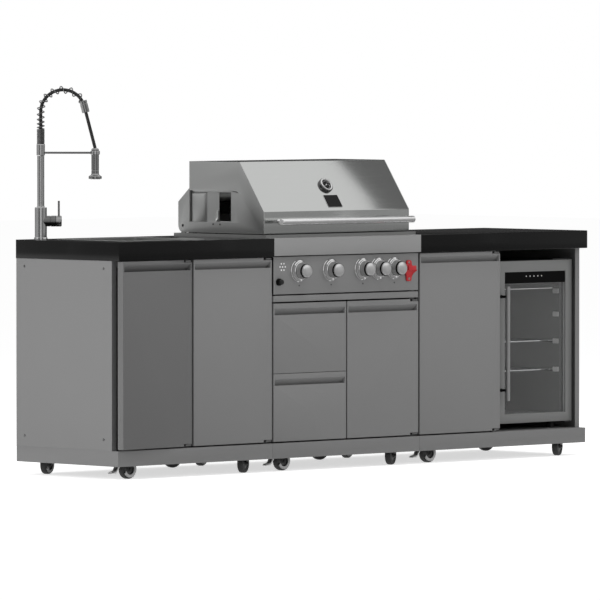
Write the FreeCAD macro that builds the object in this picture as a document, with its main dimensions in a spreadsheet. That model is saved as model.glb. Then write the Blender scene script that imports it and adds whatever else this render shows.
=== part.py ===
import FreeCAD, Part
import math
import os
import re
import Sketcher

# Outdoor kitchen island on casters: a sink cabinet, a gas grill cabinet and a fridge cabinet.
# Millimetres. X runs along the front, Y towards the back, Z up from the floor.
# The origin is on the floor under the middle of the island's outer box.

SIZES = {
    # Base and worktop
    "base_width": (2564, "length of the plinth"),
    "base_depth": (570, "depth of the plinth"),
    "plinth_clear": (51, "floor to the plinth's lower edge"),
    "plinth_tall": (59, "height of the plinth's skirt"),
    "tray_steel": (2, "thickness of the plinth trays"),
    "seam": (0.6, "gap between neighbouring modules"),
    "left_width": (816, "sink module"),
    "grill_width": (803, "grill module"),
    "counter_height": (901, "worktop's upper face above the floor"),
    "counter_thick": (71, "worktop's front edge"),
    "counter_slab": (22, "worktop's slab behind the edge"),
    "counter_rim": (34, "width of the built-up edge"),
    "counter_front": (9, "worktop over the plinth in front"),
    "counter_side": (2, "worktop over the plinth at each end"),
    # Sheet cabinets
    "sheet": (1.5, "cabinet sheet"),
    "front_flange": (24, "side panel's front strip"),
    "rear_flange": (20, "side panel's rear strip"),
    "rail_tall": (26, "upper cross rail's height"),
    "rail_deep": (18, "upper cross rail's depth"),
    "screw_head": (9, "visible screw heads, across"),
    "screw_rise": (2, "visible screw heads, height"),
    "screw_low": (42, "lower panel screws above the plinth"),
    "screw_high": (30, "upper panel screws below the worktop"),
    "screw_inset": (46, "panel screws from the panel's front and rear edges"),
    # Doors
    "door_setback": (3, "door faces behind the plinth's face"),
    "door_thick": (28, "doors and drawer fronts"),
    "door_back_gap": (3, "doors to the cabinet's front edge"),
    "door_base_gap": (6, "doors above the plinth"),
    "door_top_gap": (3, "doors below the worktop"),
    "door_end_gap": (4, "outer end of the first door from the plinth's end"),
    "door_1_width": (384, "first door"),
    "door_mid_gap": (11, "between the first and second doors"),
    "door_2_gap": (2, "second door to the module's right end"),
    "grill_end_gap": (7, "grill fronts from the module's left end"),
    "drawer_width": (393, "drawer fronts"),
    "drawer_door_gap": (7, "drawers to the grill cabinet's door"),
    "door_3_gap": (5, "grill cabinet's door to the module's right end"),
    "door_4_gap": (5, "fourth door from the module's left end"),
    "bay_front_gap": (40, "fourth door to the fridge door"),
    "pivot_inset": (8, "hinge axis from a door's right edge"),
    "pivot_radius": (4, "hinge pins"),
    "pivot_play": (0.05, "hinge pin clearance on the radius"),
    "pivot_long": (12, "hinge pin reach into the door"),
    "notch_wide": (44, "door corner notch for the bracket"),
    "notch_tall": (9, "door corner notch for the bracket"),
    "bracket_wide": (28, "hinge bracket"),
    "bracket_thick": (5, "hinge bracket"),
    "bracket_gap": (2, "hinge bracket to the notch's roof"),
    "door_ajar": (4, "angle at which the first door stands open"),
    "lip_tall": (14, "door's upper lip over the finger trough"),
    "drawer_lip": (20, "drawer's upper lip over the finger trough"),
    "trough_tall": (25, "finger trough"),
    "trough_deep": (24, "finger trough"),
    "trough_end": (6, "closed end of the finger trough"),
    "back_recess": (14, "depth of the hollow in a door's back"),
    "back_border": (34, "border round the hollow in a door's back"),
    # Grill cabinet's front
    "lower_drawer_tall": (261, "lower drawer front"),
    "drawer_gap": (2, "between the drawer fronts"),
    "upper_drawer_tall": (270, "upper drawer front"),
    "tray_front_gap": (6, "drawer fronts to the drip tray's front"),
    "tray_front_tall": (24, "drip tray's front"),
    "panel_base_gap": (5, "drip tray's front to the control panel"),
    "panel_top_gap": (1, "control panel below the worktop's underside"),
    "panel_steel": (2, "control panel sheet"),
    "fascia_rise": (3, "fascia's lower edge above the worktop's underside"),
    "drawer_behind": (119, "drawer boxes to the plinth's back"),
    "drawer_steel": (1.5, "drawer box sheet"),
    "drawer_side_gap": (20, "drawer box inside the drawer front's ends"),
    "drawer_box_low": (22, "drawer box above the front's lower edge"),
    "drawer_box_short": (70, "drawer box below the front's upper edge"),
    "runner_tall": (35, "drawer runners"),
    "slide_play": (0.5, "sliding clearance"),
    # Control panel
    "knob_count": (4, "main burner knobs"),
    "knob_end": (135.25, "first and last knob axes from the fronts' outer ends"),
    "knob_high": (773, "knob axes above the floor"),
    "bezel_radius": (40, "knob bezels"),
    "bezel_deep": (14, "knob bezels"),
    "knob_radius": (30, "knob skirts"),
    "knob_neck": (22.5, "knob necks, radius"),
    "cap_radius": (26, "knob caps"),
    "knob_reach": (58, "control panel's face to the front of a knob"),
    "skirt_end": (36, "control panel's face to the end of a knob's skirt"),
    "cap_start": (42, "control panel's face to a knob's cap"),
    "stem_radius": (4, "valve stems"),
    "stem_play": (0.05, "knob's bore over the stem, on the radius"),
    "panel_hole": (9, "stem holes in the control panel and the bezels, radius"),
    "igniter_left": (34, "igniter from the grill module's left end"),
    "igniter_high": (732, "igniter's axis above the floor"),
    "igniter_radius": (10, "igniter button"),
    "igniter_reach": (22, "igniter button's face from the panel"),
    "igniter_bezel": (14, "igniter's bezel, radius"),
    "igniter_bezel_deep": (10, "igniter's bezel"),
    "igniter_travel": (6, "igniter button's stroke"),
    "opener_right": (61, "bottle opener from the grill module's right end"),
    "opener_high": (761, "bottle opener's centre above the floor"),
    "opener_tall": (82, "bottle opener"),
    "opener_half": (29, "bottle opener's half width across the wings"),
    "opener_screws": (63, "between the bottle opener's screws"),
    "opener_base": (5, "bottle opener's plate"),
    "opener_reach": (26, "bottle opener's hook from the panel"),
    # Grill
    "ring_lap": (8, "grill's rim over each worktop"),
    "ring_front": (30, "grill's rim behind the plinth's face"),
    "ring_rear": (25, "grill's rear rim ahead of the plinth's back"),
    "ring_tall": (12, "grill's rim"),
    "ring_steel": (2, "grill's rim sheet"),
    "tub_inset": (40, "firebox wall inside the rim's end"),
    "tub_front": (76, "firebox's front wall behind the plinth's face"),
    "tub_rear": (45, "firebox's rear wall ahead of the rear rim"),
    "tub_low": (700, "firebox's lower edge above the floor"),
    "tub_steel": (2, "firebox sheet"),
    "grate_count": (4, "cooking grates"),
    "grate_thick": (10, "cooking grates"),
    "grate_bar": (10, "cooking grate bars"),
    "grate_slots": (7, "slots in a cooking grate"),
    "ledge_deep": (14, "ledges under the grates and the flame tamers"),
    "ledge_thick": (3, "ledges under the grates and the flame tamers"),
    "grate_drop": (18, "cooking grates below the rim's upper face"),
    "grate_gap": (2, "between cooking grates and to the walls"),
    "burner_radius": (15, "burner tubes"),
    "tamer_half": (62, "flame tamers, half width"),
    "tamer_rise": (34, "flame tamers, ridge over edge"),
    "tamer_steel": (2, "flame tamer sheet"),
    "tamer_low": (52, "flame tamer edges below the grates"),
    "manifold_half": (11, "gas manifold's square tube, half its side"),
    "valve_half": (13, "burner valves, half their side"),
    "valve_front": (8, "burner valves behind the control panel"),
    "manifold_back": (50, "manifold's axis behind the control panel's face"),
    "inlet_radius": (10.5, "gas inlet tail, radius"),
    "inlet_long": (30, "gas inlet tail"),
    "inlet_hole": (14, "hole in the back sheet for the gas hose, radius"),
    "elbow": (20, "gas line's elbows, side"),
    "gas_pipe": (8, "gas line's pipe, radius"),
    "gas_jog": (52, "gas line's last run, along the back"),
    "gas_rear": (4, "gas inlet's end ahead of the plinth's back"),
    "rack_high": (118, "warming rack above the rim"),
    "rack_front": (340, "warming rack behind the plinth's face"),
    "rack_deep": (120, "warming rack"),
    "rack_bar": (6, "warming rack bars"),
    "rack_count": (7, "warming rack bars"),
    "rear_burner_tall": (70, "rear burner"),
    "rear_burner_lap": (8, "rear burner's ends on the grill's rim"),
    "rear_burner_gap": (6, "rear burner ahead of the firebox's rear wall"),
    "rear_burner_deep": (24, "rear burner"),
    "tray_low": (4, "drip tray above its front's lower edge"),
    "tray_wall": (20, "drip tray's wall"),
    "tray_behind": (99, "drip tray to the plinth's back"),
    "tray_side": (30, "drip tray inside its front's ends"),
    "tray_rail": (6, "rails under the drip tray"),
    "tray_rail_lap": (15, "rails' reach under the drip tray"),
    # Hood
    "hood_side_gap": (2, "hood inside the grill module at its left end"),
    "hood_end_gap": (7, "hood inside the grill module at its right end"),
    "hood_steel": (1.5, "hood skin"),
    "hood_front": (52, "hood's front behind the plinth's face"),
    "hood_lift": (3, "hood's lower edge above the grill's rim"),
    "hood_face": (86, "hood's upright front"),
    "hood_tall": (277, "hood, from its lower edge"),
    "hood_slope_run": (135, "run of the hood's sloping front"),
    "hood_rear_gap": (14, "hood's lower back ahead of the grill's rear rim"),
    "hood_bump_deep": (63, "hood's lower back behind its upper back"),
    "hood_bump": (119, "hood's lower back, height"),
    "hood_bump_slope": (54, "rise of the slope over the lower back"),
    "hood_end": (2, "hood's stamped end panels"),
    "pocket_deep": (13, "stamped pocket in an end panel"),
    "pocket_front": (186, "pocket's front edge behind the plinth's face"),
    "pocket_rear": (1, "pocket's rear edge ahead of the hood's upper back"),
    "pocket_low": (42, "pocket above the hood's lower edge"),
    "pocket_tall": (122, "pocket's height"),
    "pocket_cut": (15, "pocket's cut upper corners"),
    "spit_front": (248, "spit slot's front edge behind the plinth's face"),
    "spit_back": (313, "spit slot's rear edge behind the plinth's face"),
    "stack_long": (85, "end cover's front edge ahead of the pocket's rear edge"),
    "stack_short": (26, "end cover's top below the pocket's upper edge"),
    "hinge_round": (26, "round rear corner of an end panel, about the hinge"),
    "hinge_pin": (6, "hood hinge pins, radius"),
    "hinge_play": (0.05, "hood hinge clearance on the radius"),
    "handle_radius": (13, "hood handle tube"),
    "handle_out": (61, "hood handle's axis ahead of the hood's face"),
    "handle_high": (47, "hood handle's axis above the hood's lower edge"),
    "handle_inset": (36, "hood handle's ends inside the hood's"),
    "post_radius": (8, "hood handle's square posts, half their side"),
    "post_inset": (46, "hood handle's posts from its ends"),
    "gauge_radius": (31, "temperature gauge"),
    "gauge_deep": (14, "temperature gauge"),
    "gauge_up": (115, "temperature gauge up the slope"),
    "plate_wide": (72, "plain plate under the gauge"),
    "plate_tall": (54, "plain plate under the gauge"),
    "plate_up": (44, "plain plate up the slope"),
    "plate_thick": (2, "plain plate under the gauge"),
    # Fridge
    "bay_gap": (8, "fourth door to the fridge bay's wall"),
    "fridge_right": (28, "fridge door from the plinth's right end"),
    "fridge_width": (421, "fridge door"),
    "fridge_setback": (50, "fridge door's face behind the plinth's face"),
    "fridge_low": (27, "fridge door above the plinth"),
    "fridge_tall": (648, "fridge door"),
    "fridge_door_thick": (34, "fridge door"),
    "fridge_seal": (4, "fridge door to the fridge body"),
    "fridge_behind": (52, "fridge body to the plinth's back"),
    "fridge_wall": (30, "insulated walls"),
    "fridge_machine": (120, "machine bay's height behind the chamber"),
    "stile_wide": (36, "fridge door's stiles"),
    "head_tall": (44, "fridge door's upper rail"),
    "sill_tall": (35, "fridge door's lower rail"),
    "glass_thick": (6, "fridge door's pane"),
    "strip_tall": (61, "control strip under the chamber's ceiling"),
    "strip_deep": (18, "control strip"),
    "foot_radius": (16, "fridge feet"),
    "fridge_handle_radius": (8, "fridge handle tube"),
    "fridge_handle_out": (39, "fridge handle's axis ahead of the door's face"),
    "fridge_handle_in": (15, "fridge handle's axis from the door's left edge"),
    "fridge_handle_low": (94, "fridge handle's lower end above the door's"),
    "fridge_handle_long": (454, "fridge handle"),
    "fridge_post_in": (41, "fridge handle's posts from its ends"),
    "fridge_post_radius": (6, "fridge handle's square posts, half their side"),
    "fridge_pivot_in": (12, "fridge door's hinge axis from its right edge"),
    "fridge_pivot_radius": (4, "fridge door's hinge pins"),
    "fridge_pivot_back": (12, "fridge door's hinge axis behind its face"),
    "hinge_plate": (5, "fridge door's hinge plates"),
    "hinge_plate_wide": (110, "fridge door's upper hinge plate"),
    "fridge_door_play": (1, "hinge plates to the fridge door"),
    "shelf_count": (2, "fridge shelves"),
    "shelf_pitch": (116, "between fridge shelves"),
    "shelf_first": (174, "lowest shelf above the chamber's floor"),
    "shelf_front": (34, "shelves behind the fridge body's front"),
    "shelf_rear": (126, "shelves to the fridge body's back"),
    "shelf_play": (2, "shelves to the chamber's walls"),
    "shelf_rest": (8, "shelf rests' reach from the chamber's walls"),
    "shelf_wire": (4, "fridge shelf wire"),
    "shelf_bars": (9, "bars in a fridge shelf"),
    # Sink and tap
    "bowl_left": (130, "sink bowl from the plinth's left end"),
    "bowl_front": (95, "sink bowl behind the plinth's face"),
    "bowl_wide": (390, "sink bowl, inside"),
    "bowl_behind": (115, "sink bowl to the plinth's back"),
    "bowl_deep": (175, "sink bowl, inside"),
    "bowl_steel": (1.5, "sink bowl sheet"),
    "bowl_corner": (16, "sink bowl's cut corners"),
    "bowl_rim": (18, "sink's rim on the worktop"),
    "rim_thick": (2, "sink's rim"),
    "cutout_play": (3, "worktop cut-out round the bowl"),
    "drain_radius": (45, "drain flange"),
    "drain_neck": (32, "drain's neck through the bowl's floor, radius"),
    "drain_thick": (3, "drain flange"),
    "tail_bore": (17.5, "drain tail's bore, radius"),
    "service_hole": (26, "hole in the plinth's deck under the drain, radius"),
    "tail_radius": (20, "drain tail"),
    "tail_long": (70, "drain tail"),
    "tap_left": (85, "tap from the plinth's left end"),
    "tap_rear": (47, "tap ahead of the plinth's back"),
    "tap_turn": (44.4, "spout's heading, from +X towards the front"),
    "tap_base_radius": (26, "tap's foot"),
    "tap_base_tall": (8, "tap's foot"),
    "tap_body_radius": (23, "tap's body"),
    "tap_body_tall": (123, "tap's body"),
    "column_radius": (13.5, "tap's column"),
    "column_top": (321, "tap's column above the worktop"),
    "collar_radius": (16, "collar on the tap's column"),
    "collar_tall": (44, "collar on the tap's column"),
    "arm_radius": (4, "tap's support arm"),
    "arm_drop": (33, "support arm's axis below the collar's top"),
    "dock_radius": (18, "ring that holds the spray head"),
    "dock_play": (0.3, "ring's bore over the spray head, on the radius"),
    "dock_tall": (14, "ring that holds the spray head"),
    "mixer_high": (70, "mixer's axis above the worktop"),
    "mixer_radius": (21, "mixer"),
    "mixer_reach": (58, "mixer's end from the tap's axis"),
    "lever_cap": (22, "lever cap, along the mixer's axis"),
    "lever_radius": (4, "lever pin"),
    "lever_long": (57, "lever pin over the mixer"),
    "tail_pipe_radius": (5, "tap's supply tails"),
    "tail_pipe_long": (60, "tap's supply tails below the worktop"),
    "shank_radius": (15, "tap's threaded shank"),
    "shank_long": (50, "tap's threaded shank below the worktop"),
    "arch_radius": (85, "hose's arch"),
    "arch_rise": (488, "arch's centre above the worktop"),
    "drop_angle": (14.4, "hose's last run from the plumb line"),
    "hose_radius": (6.5, "tap's hose"),
    "coil_radius": (13, "spring, to the wire's centre"),
    "coil_wire": (3.2, "spring wire, corner to corner"),
    "coil_tight": (4.8, "pitch of the closed turns"),
    "coil_closed": (2, "closed turns"),
    "coil_open": (8, "open turns"),
    "coil_settle": (2.5, "open turns over which the pitch grows"),
    "sleeve_radius": (14.5, "spring's end sleeve"),
    "sleeve_long": (47, "spring's end sleeve"),
    "head_radius": (14.7, "spray head"),
    "head_top": (349, "spray head's upper end above the worktop"),
    "head_long": (118, "spray head"),
    "rose_radius": (25, "spray head's rose"),
    "rose_tall": (12, "spray head's rose"),
    # Casters
    "caster_in": (85, "caster pivots from a module's ends"),
    "caster_deep": (64, "caster pivots from the plinth's front and back"),
    "wheel_radius": (37.5, "caster wheels"),
    "wheel_wide": (24, "caster wheels"),
    "wheel_gap": (1.5, "wheel to the fork's legs"),
    "fork_steel": (3, "caster fork"),
    "fork_crown": (4, "wheel to the fork's crown"),
    "caster_trail": (24, "wheel's axle behind the pivot"),
    "axle_radius": (3, "caster axles"),
    "axle_play": (0.05, "wheel's bore over the axle, on the radius"),
    "race_radius": (21, "caster's swivel race"),
    "plate_side": (58, "caster's fixing plate"),
    "caster_plate": (4, "caster's fixing plate"),
    "kingpin_radius": (6, "caster's kingpin"),
    "kingpin_play": (0.05, "kingpin clearance on the radius"),
}

# Places worked out from the sizes, by formulas in a second sheet.
PLACES = {
    "left_x": "-base_width / 2",
    "knob_front": "knob_reach - door_setback",
    "front_y": "(knob_front - base_depth) / 2",
    "back_y": "front_y + base_depth",
    "plinth_top": "plinth_clear + plinth_tall",
    "counter_under": "counter_height - counter_thick",
    "grill_x": "left_x + left_width",
    "right_x": "grill_x + grill_width",
    "right_width": "base_width - left_width - grill_width",
    "end_x": "left_x + base_width",
    "face_y": "front_y + door_setback",
    "pivot_y": "face_y + door_thick / 2",
    "carcass_y": "face_y + door_thick + door_back_gap",
    "carcass_deep": "back_y - carcass_y",
    "carcass_tall": "counter_under - plinth_top",
    "door_low": "plinth_top + door_base_gap",
    "door_tall": "counter_under - door_top_gap - door_low",
    "door_1_x": "left_x + door_end_gap",
    "door_2_x": "door_1_x + door_1_width + door_mid_gap",
    "drawer_x": "grill_x + grill_end_gap",
    "door_2_width": "left_width - door_end_gap - door_1_width - door_mid_gap - door_2_gap",
    "door_3_x": "drawer_x + drawer_width + drawer_door_gap",
    "door_3_width": "right_x - door_3_gap - door_3_x",
    "door_4_x": "right_x + door_4_gap",
    "door_4_width": "right_width - door_4_gap - bay_front_gap - fridge_width - fridge_right",
    "upper_drawer_z": "door_low + lower_drawer_tall + drawer_gap",
    "grill_fronts_top": "upper_drawer_z + upper_drawer_tall",
    "grill_fronts_wide": "drawer_width + drawer_door_gap + door_3_width",
    "drawer_deep": "base_depth - door_setback - door_thick - drawer_behind",
    "tray_deep": "base_depth - door_setback - door_thick - tray_behind",
    "tray_front_z": "grill_fronts_top + tray_front_gap",
    "panel_z": "tray_front_z + tray_front_tall + panel_base_gap",
    "panel_tall": "counter_under - panel_top_gap - panel_z",
    "knob_x": "drawer_x + knob_end",
    "knob_pitch": "(grill_fronts_wide - 2 * knob_end) / (knob_count - 1)",
    "knob_5_x": "knob_x + 2.5 * knob_pitch",
    "ring_z": "counter_height",
    "ring_top": "ring_z + ring_tall",
    "ring_x": "grill_x - ring_lap",
    "ring_wide": "grill_width + 2 * ring_lap",
    "ring_y": "front_y + ring_front",
    "ring_back": "base_depth - ring_rear",
    "ring_deep": "ring_back - ring_front",
    "tub_back": "ring_back - tub_rear",
    "tub_x": "ring_x + tub_inset",
    "tub_wide": "ring_wide - 2 * tub_inset",
    "tub_y": "front_y + tub_front",
    "tub_long": "tub_back - tub_front",
    "tub_top": "ring_top - ring_steel",
    "grate_top": "ring_top - grate_drop",
    "grate_z": "grate_top - grate_thick",
    "grate_wide": "(tub_wide - 2 * tub_steel - (grate_count + 1) * grate_gap) / grate_count",
    "grate_long": "tub_long - 2 * tub_steel - 2 * grate_gap",
    "hood_x": "grill_x + hood_side_gap",
    "hood_width": "grill_width - hood_side_gap - hood_end_gap",
    "hood_rear": "ring_back - hood_rear_gap",
    "hood_back": "hood_rear - hood_bump_deep",
    "pocket_back": "hood_back - pocket_rear",
    "stack_front": "pocket_back - stack_long",
    "hood_y": "front_y + hood_front",
    "hood_z": "ring_top + hood_lift",
    "hinge_y": "front_y + hood_rear - hinge_round",
    "hinge_z": "hood_z + hinge_round",
    "slope_angle": "atan((hood_tall - hood_face) / hood_slope_run)",
    "manifold_y": "face_y + manifold_back",
    "manifold_x": "knob_x - 40",
    "manifold_long": "tub_x + tub_wide + 5.25 - manifold_x",
    "inlet_x": "manifold_x + manifold_long - gas_jog + elbow / 2",
    "inlet_y": "back_y - gas_rear - inlet_long - elbow / 2",
    "fridge_x": "end_x - fridge_right - fridge_width",
    "fridge_y": "front_y + fridge_setback",
    "fridge_z": "plinth_top + fridge_low",
    "fridge_body_y": "fridge_y + fridge_door_thick + fridge_seal",
    "fridge_deep": "back_y - fridge_behind - fridge_body_y",
    "shelf_long": "fridge_deep - shelf_front - shelf_rear",
    "bay_x": "door_4_x + door_4_width + bay_gap",
    "sleeve_bore": "hose_radius + dock_play + arch_radius"
                   " - sqrt(arch_radius ^ 2 - sleeve_long ^ 2 / 4)",
    "bowl_x": "left_x + bowl_left",
    "bowl_y": "front_y + bowl_front",
    "bowl_long": "base_depth - bowl_front - bowl_behind",
    "drain_x": "bowl_x + bowl_wide / 2",
    "drain_y": "bowl_y + bowl_long / 2",
    "tap_x": "left_x + tap_left",
    "tap_y": "back_y - tap_rear",
    "head_out": "arch_radius * (1 + cos(drop_angle)) + (arch_rise + arch_radius * sin(drop_angle)"
                " - head_top) * tan(drop_angle)",
    "mount_z": "plinth_top - tray_steel",
    "race_top": "mount_z - caster_plate",
    "crown_z": "2 * wheel_radius + fork_crown",
}

doc = FreeCAD.newDocument("OutdoorKitchenIsland")
dims = doc.addObject("Spreadsheet::Sheet", "Dims")
places = doc.addObject("Spreadsheet::Sheet", "Places")
parts = []


def linked(text, inside=False):
    """A formula whose words point at the two sheets."""
    def swap(match):
        word = match.group(0)
        if word in SIZES:
            return "Dims." + word
        if word in PLACES and not inside:
            return "Places." + word
        return word
    return re.sub(r"[a-z][a-z0-9_]*", swap, str(text))


def fill_sheets():
    """Driving sizes in one sheet, the places that follow from them in the other."""
    for row, (word, (number, note)) in enumerate(SIZES.items(), 1):
        dims.set(f"A{row}", note)
        dims.set(f"B{row}", str(number))
        dims.setAlias(f"B{row}", word)
    doc.recompute()
    for row, (word, text) in enumerate(PLACES.items(), 1):
        places.set(f"B{row}", "=" + linked(text, inside=True))
        places.setAlias(f"B{row}", word)
    doc.recompute()


fill_sheets()


def size(word):
    """Present number of a driving size or a place."""
    sheet = dims if word in SIZES else places
    return float(sheet.get(word))


# Building blocks shared by the sub-parts

TURNS = {
    "x": FreeCAD.Rotation(FreeCAD.Vector(0, 1, 0), 90),
    "y": FreeCAD.Rotation(FreeCAD.Vector(1, 0, 0), -90),
    "z": FreeCAD.Rotation(),
}


def move(obj, place, turn=None):
    """Tie an object's position to three formulas, with a fixed turn."""
    if turn is not None:
        obj.Placement = FreeCAD.Placement(FreeCAD.Vector(), turn)
    for axis, text in zip("xyz", place):
        obj.setExpression("Placement.Base." + axis, linked(text))
    return obj


def spin(obj, axis, text):
    """Tie an object's turn about a row axis to a formula, in degrees."""
    obj.Placement = FreeCAD.Placement(obj.Placement.Base, FreeCAD.Rotation(axis, 1))
    obj.setExpression("Placement.Rotation.Angle", linked(text))
    return obj


def block(name, corner, lengths):
    """Rectangular block from its low corner."""
    box = doc.addObject("Part::Box", name)
    for prop, text in zip(("Length", "Width", "Height"), lengths):
        box.setExpression(prop, linked(text))
    return move(box, corner)


def rod(name, start, radius, length, along="z"):
    """Round bar from the middle of its first end."""
    bar = doc.addObject("Part::Cylinder", name)
    bar.setExpression("Radius", linked(radius))
    bar.setExpression("Height", linked(length))
    return move(bar, start, TURNS[along])


def prism(name, start, radius, length, sides, along="z"):
    """Regular bar of some flat sides from the middle of its first end."""
    bar = doc.addObject("Part::Prism", name)
    bar.Polygon = sides
    bar.setExpression("Circumradius", linked(radius))
    bar.setExpression("Height", linked(length))
    return move(bar, start, TURNS[along])


def join(name, *shapes):
    """One solid from several that meet."""
    fused = doc.addObject("Part::MultiFuse", name)
    fused.Shapes = list(shapes)
    fused.Refine = True
    return fused


def cut(name, base, *tools):
    """A piece with material taken away."""
    result = doc.addObject("Part::Cut", name)
    result.Base = base
    result.Tool = tools[0] if len(tools) == 1 else join(name + "Tools", *tools)
    return result


def group(name, *shapes):
    """Separate solids that make one sub-part."""
    compound = doc.addObject("Part::Compound", name)
    compound.Links = list(shapes)
    return compound


def piece(node, obj):
    """Name a finished sub-part."""
    obj.Label = node
    parts.append(obj)
    return obj


def new_body(name, place=("0", "0", "0")):
    """Empty body at a place given by formulas."""
    body = doc.addObject("PartDesign::Body", name)
    doc.recompute()
    return move(body, place)


def new_sketch(body, plane, offset="0"):
    """Empty sketch on one of the body's own planes, moved along its normal."""
    sketch = body.newObject("Sketcher::SketchObject", body.Name + "Sketch")
    origin = [f for f in body.Origin.OriginFeatures if f.Role == plane + "_Plane"][0]
    sketch.AttachmentSupport = [(origin, "")]
    sketch.MapMode = "FlatFace"
    if offset != "0":
        sketch.setExpression("AttachmentOffset.Base.z", linked(offset))
    return sketch


def pin(sketch, shape, point, across, up):
    """Hold a sketch point at two formulas."""
    for kind, axis, text in (("DistanceX", -2, across), ("DistanceY", -1, up)):
        if text == "0":
            sketch.addConstraint(Sketcher.Constraint("PointOnObject", shape, point, axis))
            continue
        row = sketch.addConstraint(Sketcher.Constraint(kind, -1, 1, shape, point, 1.0 + shape))
        word = f"{kind}_{shape}_{point}"
        sketch.renameConstraint(row, word)
        sketch.setExpression("Constraints." + word, linked(text))


def outline(sketch, corners):
    """Closed outline of straight lines through corners given by formulas."""
    first = sketch.GeometryCount
    count = len(corners)
    around = [2 * math.pi * i / count for i in range(count)]
    seeds = [FreeCAD.Vector(10 * math.cos(a), 10 * math.sin(a), 0) for a in around]
    for i in range(count):
        sketch.addGeometry(Part.LineSegment(seeds[i], seeds[(i + 1) % count]), False)
    for i in range(count):
        follower = first + (i + 1) % count
        sketch.addConstraint(Sketcher.Constraint("Coincident", first + i, 2, follower, 1))
    for i, (across, up) in enumerate(corners):
        pin(sketch, first + i, 1, across, up)
    return sketch


def circle(sketch, across, up, radius):
    """Circle held by formulas."""
    shape = sketch.addGeometry(Part.Circle(FreeCAD.Vector(), FreeCAD.Vector(0, 0, 1), 5), False)
    pin(sketch, shape, 3, across, up)
    row = sketch.addConstraint(Sketcher.Constraint("Radius", shape, 5))
    word = f"Radius_{shape}"
    sketch.renameConstraint(row, word)
    sketch.setExpression("Constraints." + word, linked(radius))
    return sketch


def eight_sides(across, up, radius):
    """Corners of an octagon that clears a round pin."""
    corner = f"({radius}) / cos(22.5)"
    turns = [22.5 + 45 * i for i in range(8)]
    return [(f"{across} + {corner} * cos({turn})", f"{up} + {corner} * sin({turn})")
            for turn in turns]


def pad(body, sketch, length, reverse=False, midplane=False):
    """Material from a sketch."""
    feature = body.newObject("PartDesign::Pad", body.Name + "Pad")
    feature.Profile = sketch
    feature.setExpression("Length", linked(length))
    feature.Reversed = reverse
    feature.Midplane = midplane
    return feature


def pocket(body, sketch, length, reverse=False, midplane=False):
    """Hollow from a sketch."""
    feature = body.newObject("PartDesign::Pocket", body.Name + "Pocket")
    feature.Profile = sketch
    feature.setExpression("Length", linked(length))
    feature.Reversed = reverse
    feature.Midplane = midplane
    return feature


def revolve(body, sketch):
    """Turned shape round the sketch's upright axis."""
    feature = body.newObject("PartDesign::Revolution", body.Name + "Turned")
    feature.Profile = sketch
    feature.ReferenceAxis = (sketch, ["V_Axis"])
    feature.Angle = 360
    return feature


def turned(name, place, corners):
    """Turned body from a half profile of radius and height pairs."""
    body = new_body(name, place)
    revolve(body, outline(new_sketch(body, "XZ"), corners))
    return body


def extruded(name, place, plane, corners, length, turn=None):
    """Straight bar of one section."""
    body = new_body(name, place)
    pad(body, outline(new_sketch(body, plane), corners), length, reverse=plane == "XZ")
    if turn is not None:
        move(body, place, turn)
    return body


# Plinth and casters

MODULES = (("left_x", "left_width"), ("grill_x", "grill_width"), ("right_x", "right_width"))
FRONT_ROW = "front_y + caster_deep"
BACK_ROW = "back_y - caster_deep"


def caster_places():
    """Pivot formulas, the way each wheel trails in degrees, and whether it has a brake."""
    rows = []
    for across, (left_turn, right_turn) in ((FRONT_ROW, (0, 205)), (BACK_ROW, (20, 340))):
        for start, length in MODULES:
            rows.append((f"{start} + caster_in", across, left_turn, across == FRONT_ROW))
            rows.append((f"{start} + {length} - caster_in", across, right_turn, False))
    return rows


def tray(number, start, length):
    """Deck on four skirts; the first has the hole for the sink's waste pipe."""
    steel = "tray_steel"
    left = f"{start} + seam / 2"
    wide = f"{length} - seam"
    tall = f"plinth_tall - {steel}"
    deck = block(f"Deck{number}", (left, "front_y", f"plinth_top - {steel}"),
                 (wide, "base_depth", steel))
    if number == 1:
        hole = prism("ServiceHole", ("drain_x", "drain_y", "plinth_clear"), "service_hole",
                     "plinth_tall + 1", 12)
        deck = cut("HoledDeck", deck, hole)
    shapes = [deck]
    for name, y in (("Front", "front_y"), ("Back", f"back_y - {steel}")):
        shapes.append(block(f"{name}Skirt{number}", (left, y, "plinth_clear"), (wide, steel, tall)))
    for name, x in (("Left", left), ("Right", f"{left} + {wide} - {steel}")):
        shapes.append(block(f"{name}Skirt{number}", (x, f"front_y + {steel}", "plinth_clear"),
                            (steel, f"base_depth - 2 * {steel}", tall)))
    return shapes


def base_plinth():
    """Three trays near the floor, each with four caster plates and kingpins."""
    shapes = []
    for i, module in enumerate(MODULES, 1):
        shapes += tray(i, *module)
    for i, (x, y, turn, brake) in enumerate(caster_places(), 1):
        corner = (f"{x} - plate_side / 2", f"{y} - plate_side / 2", "race_top")
        shapes.append(block(f"Plate{i}", corner, ("plate_side", "plate_side", "caster_plate")))
        long = "race_top - crown_z - fork_steel / 2"
        shapes.append(rod(f"Kingpin{i}", (x, y, "crown_z + fork_steel / 2"), "kingpin_radius", long))
    return piece("base_plinth", group("BasePlinth", *shapes))


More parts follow.
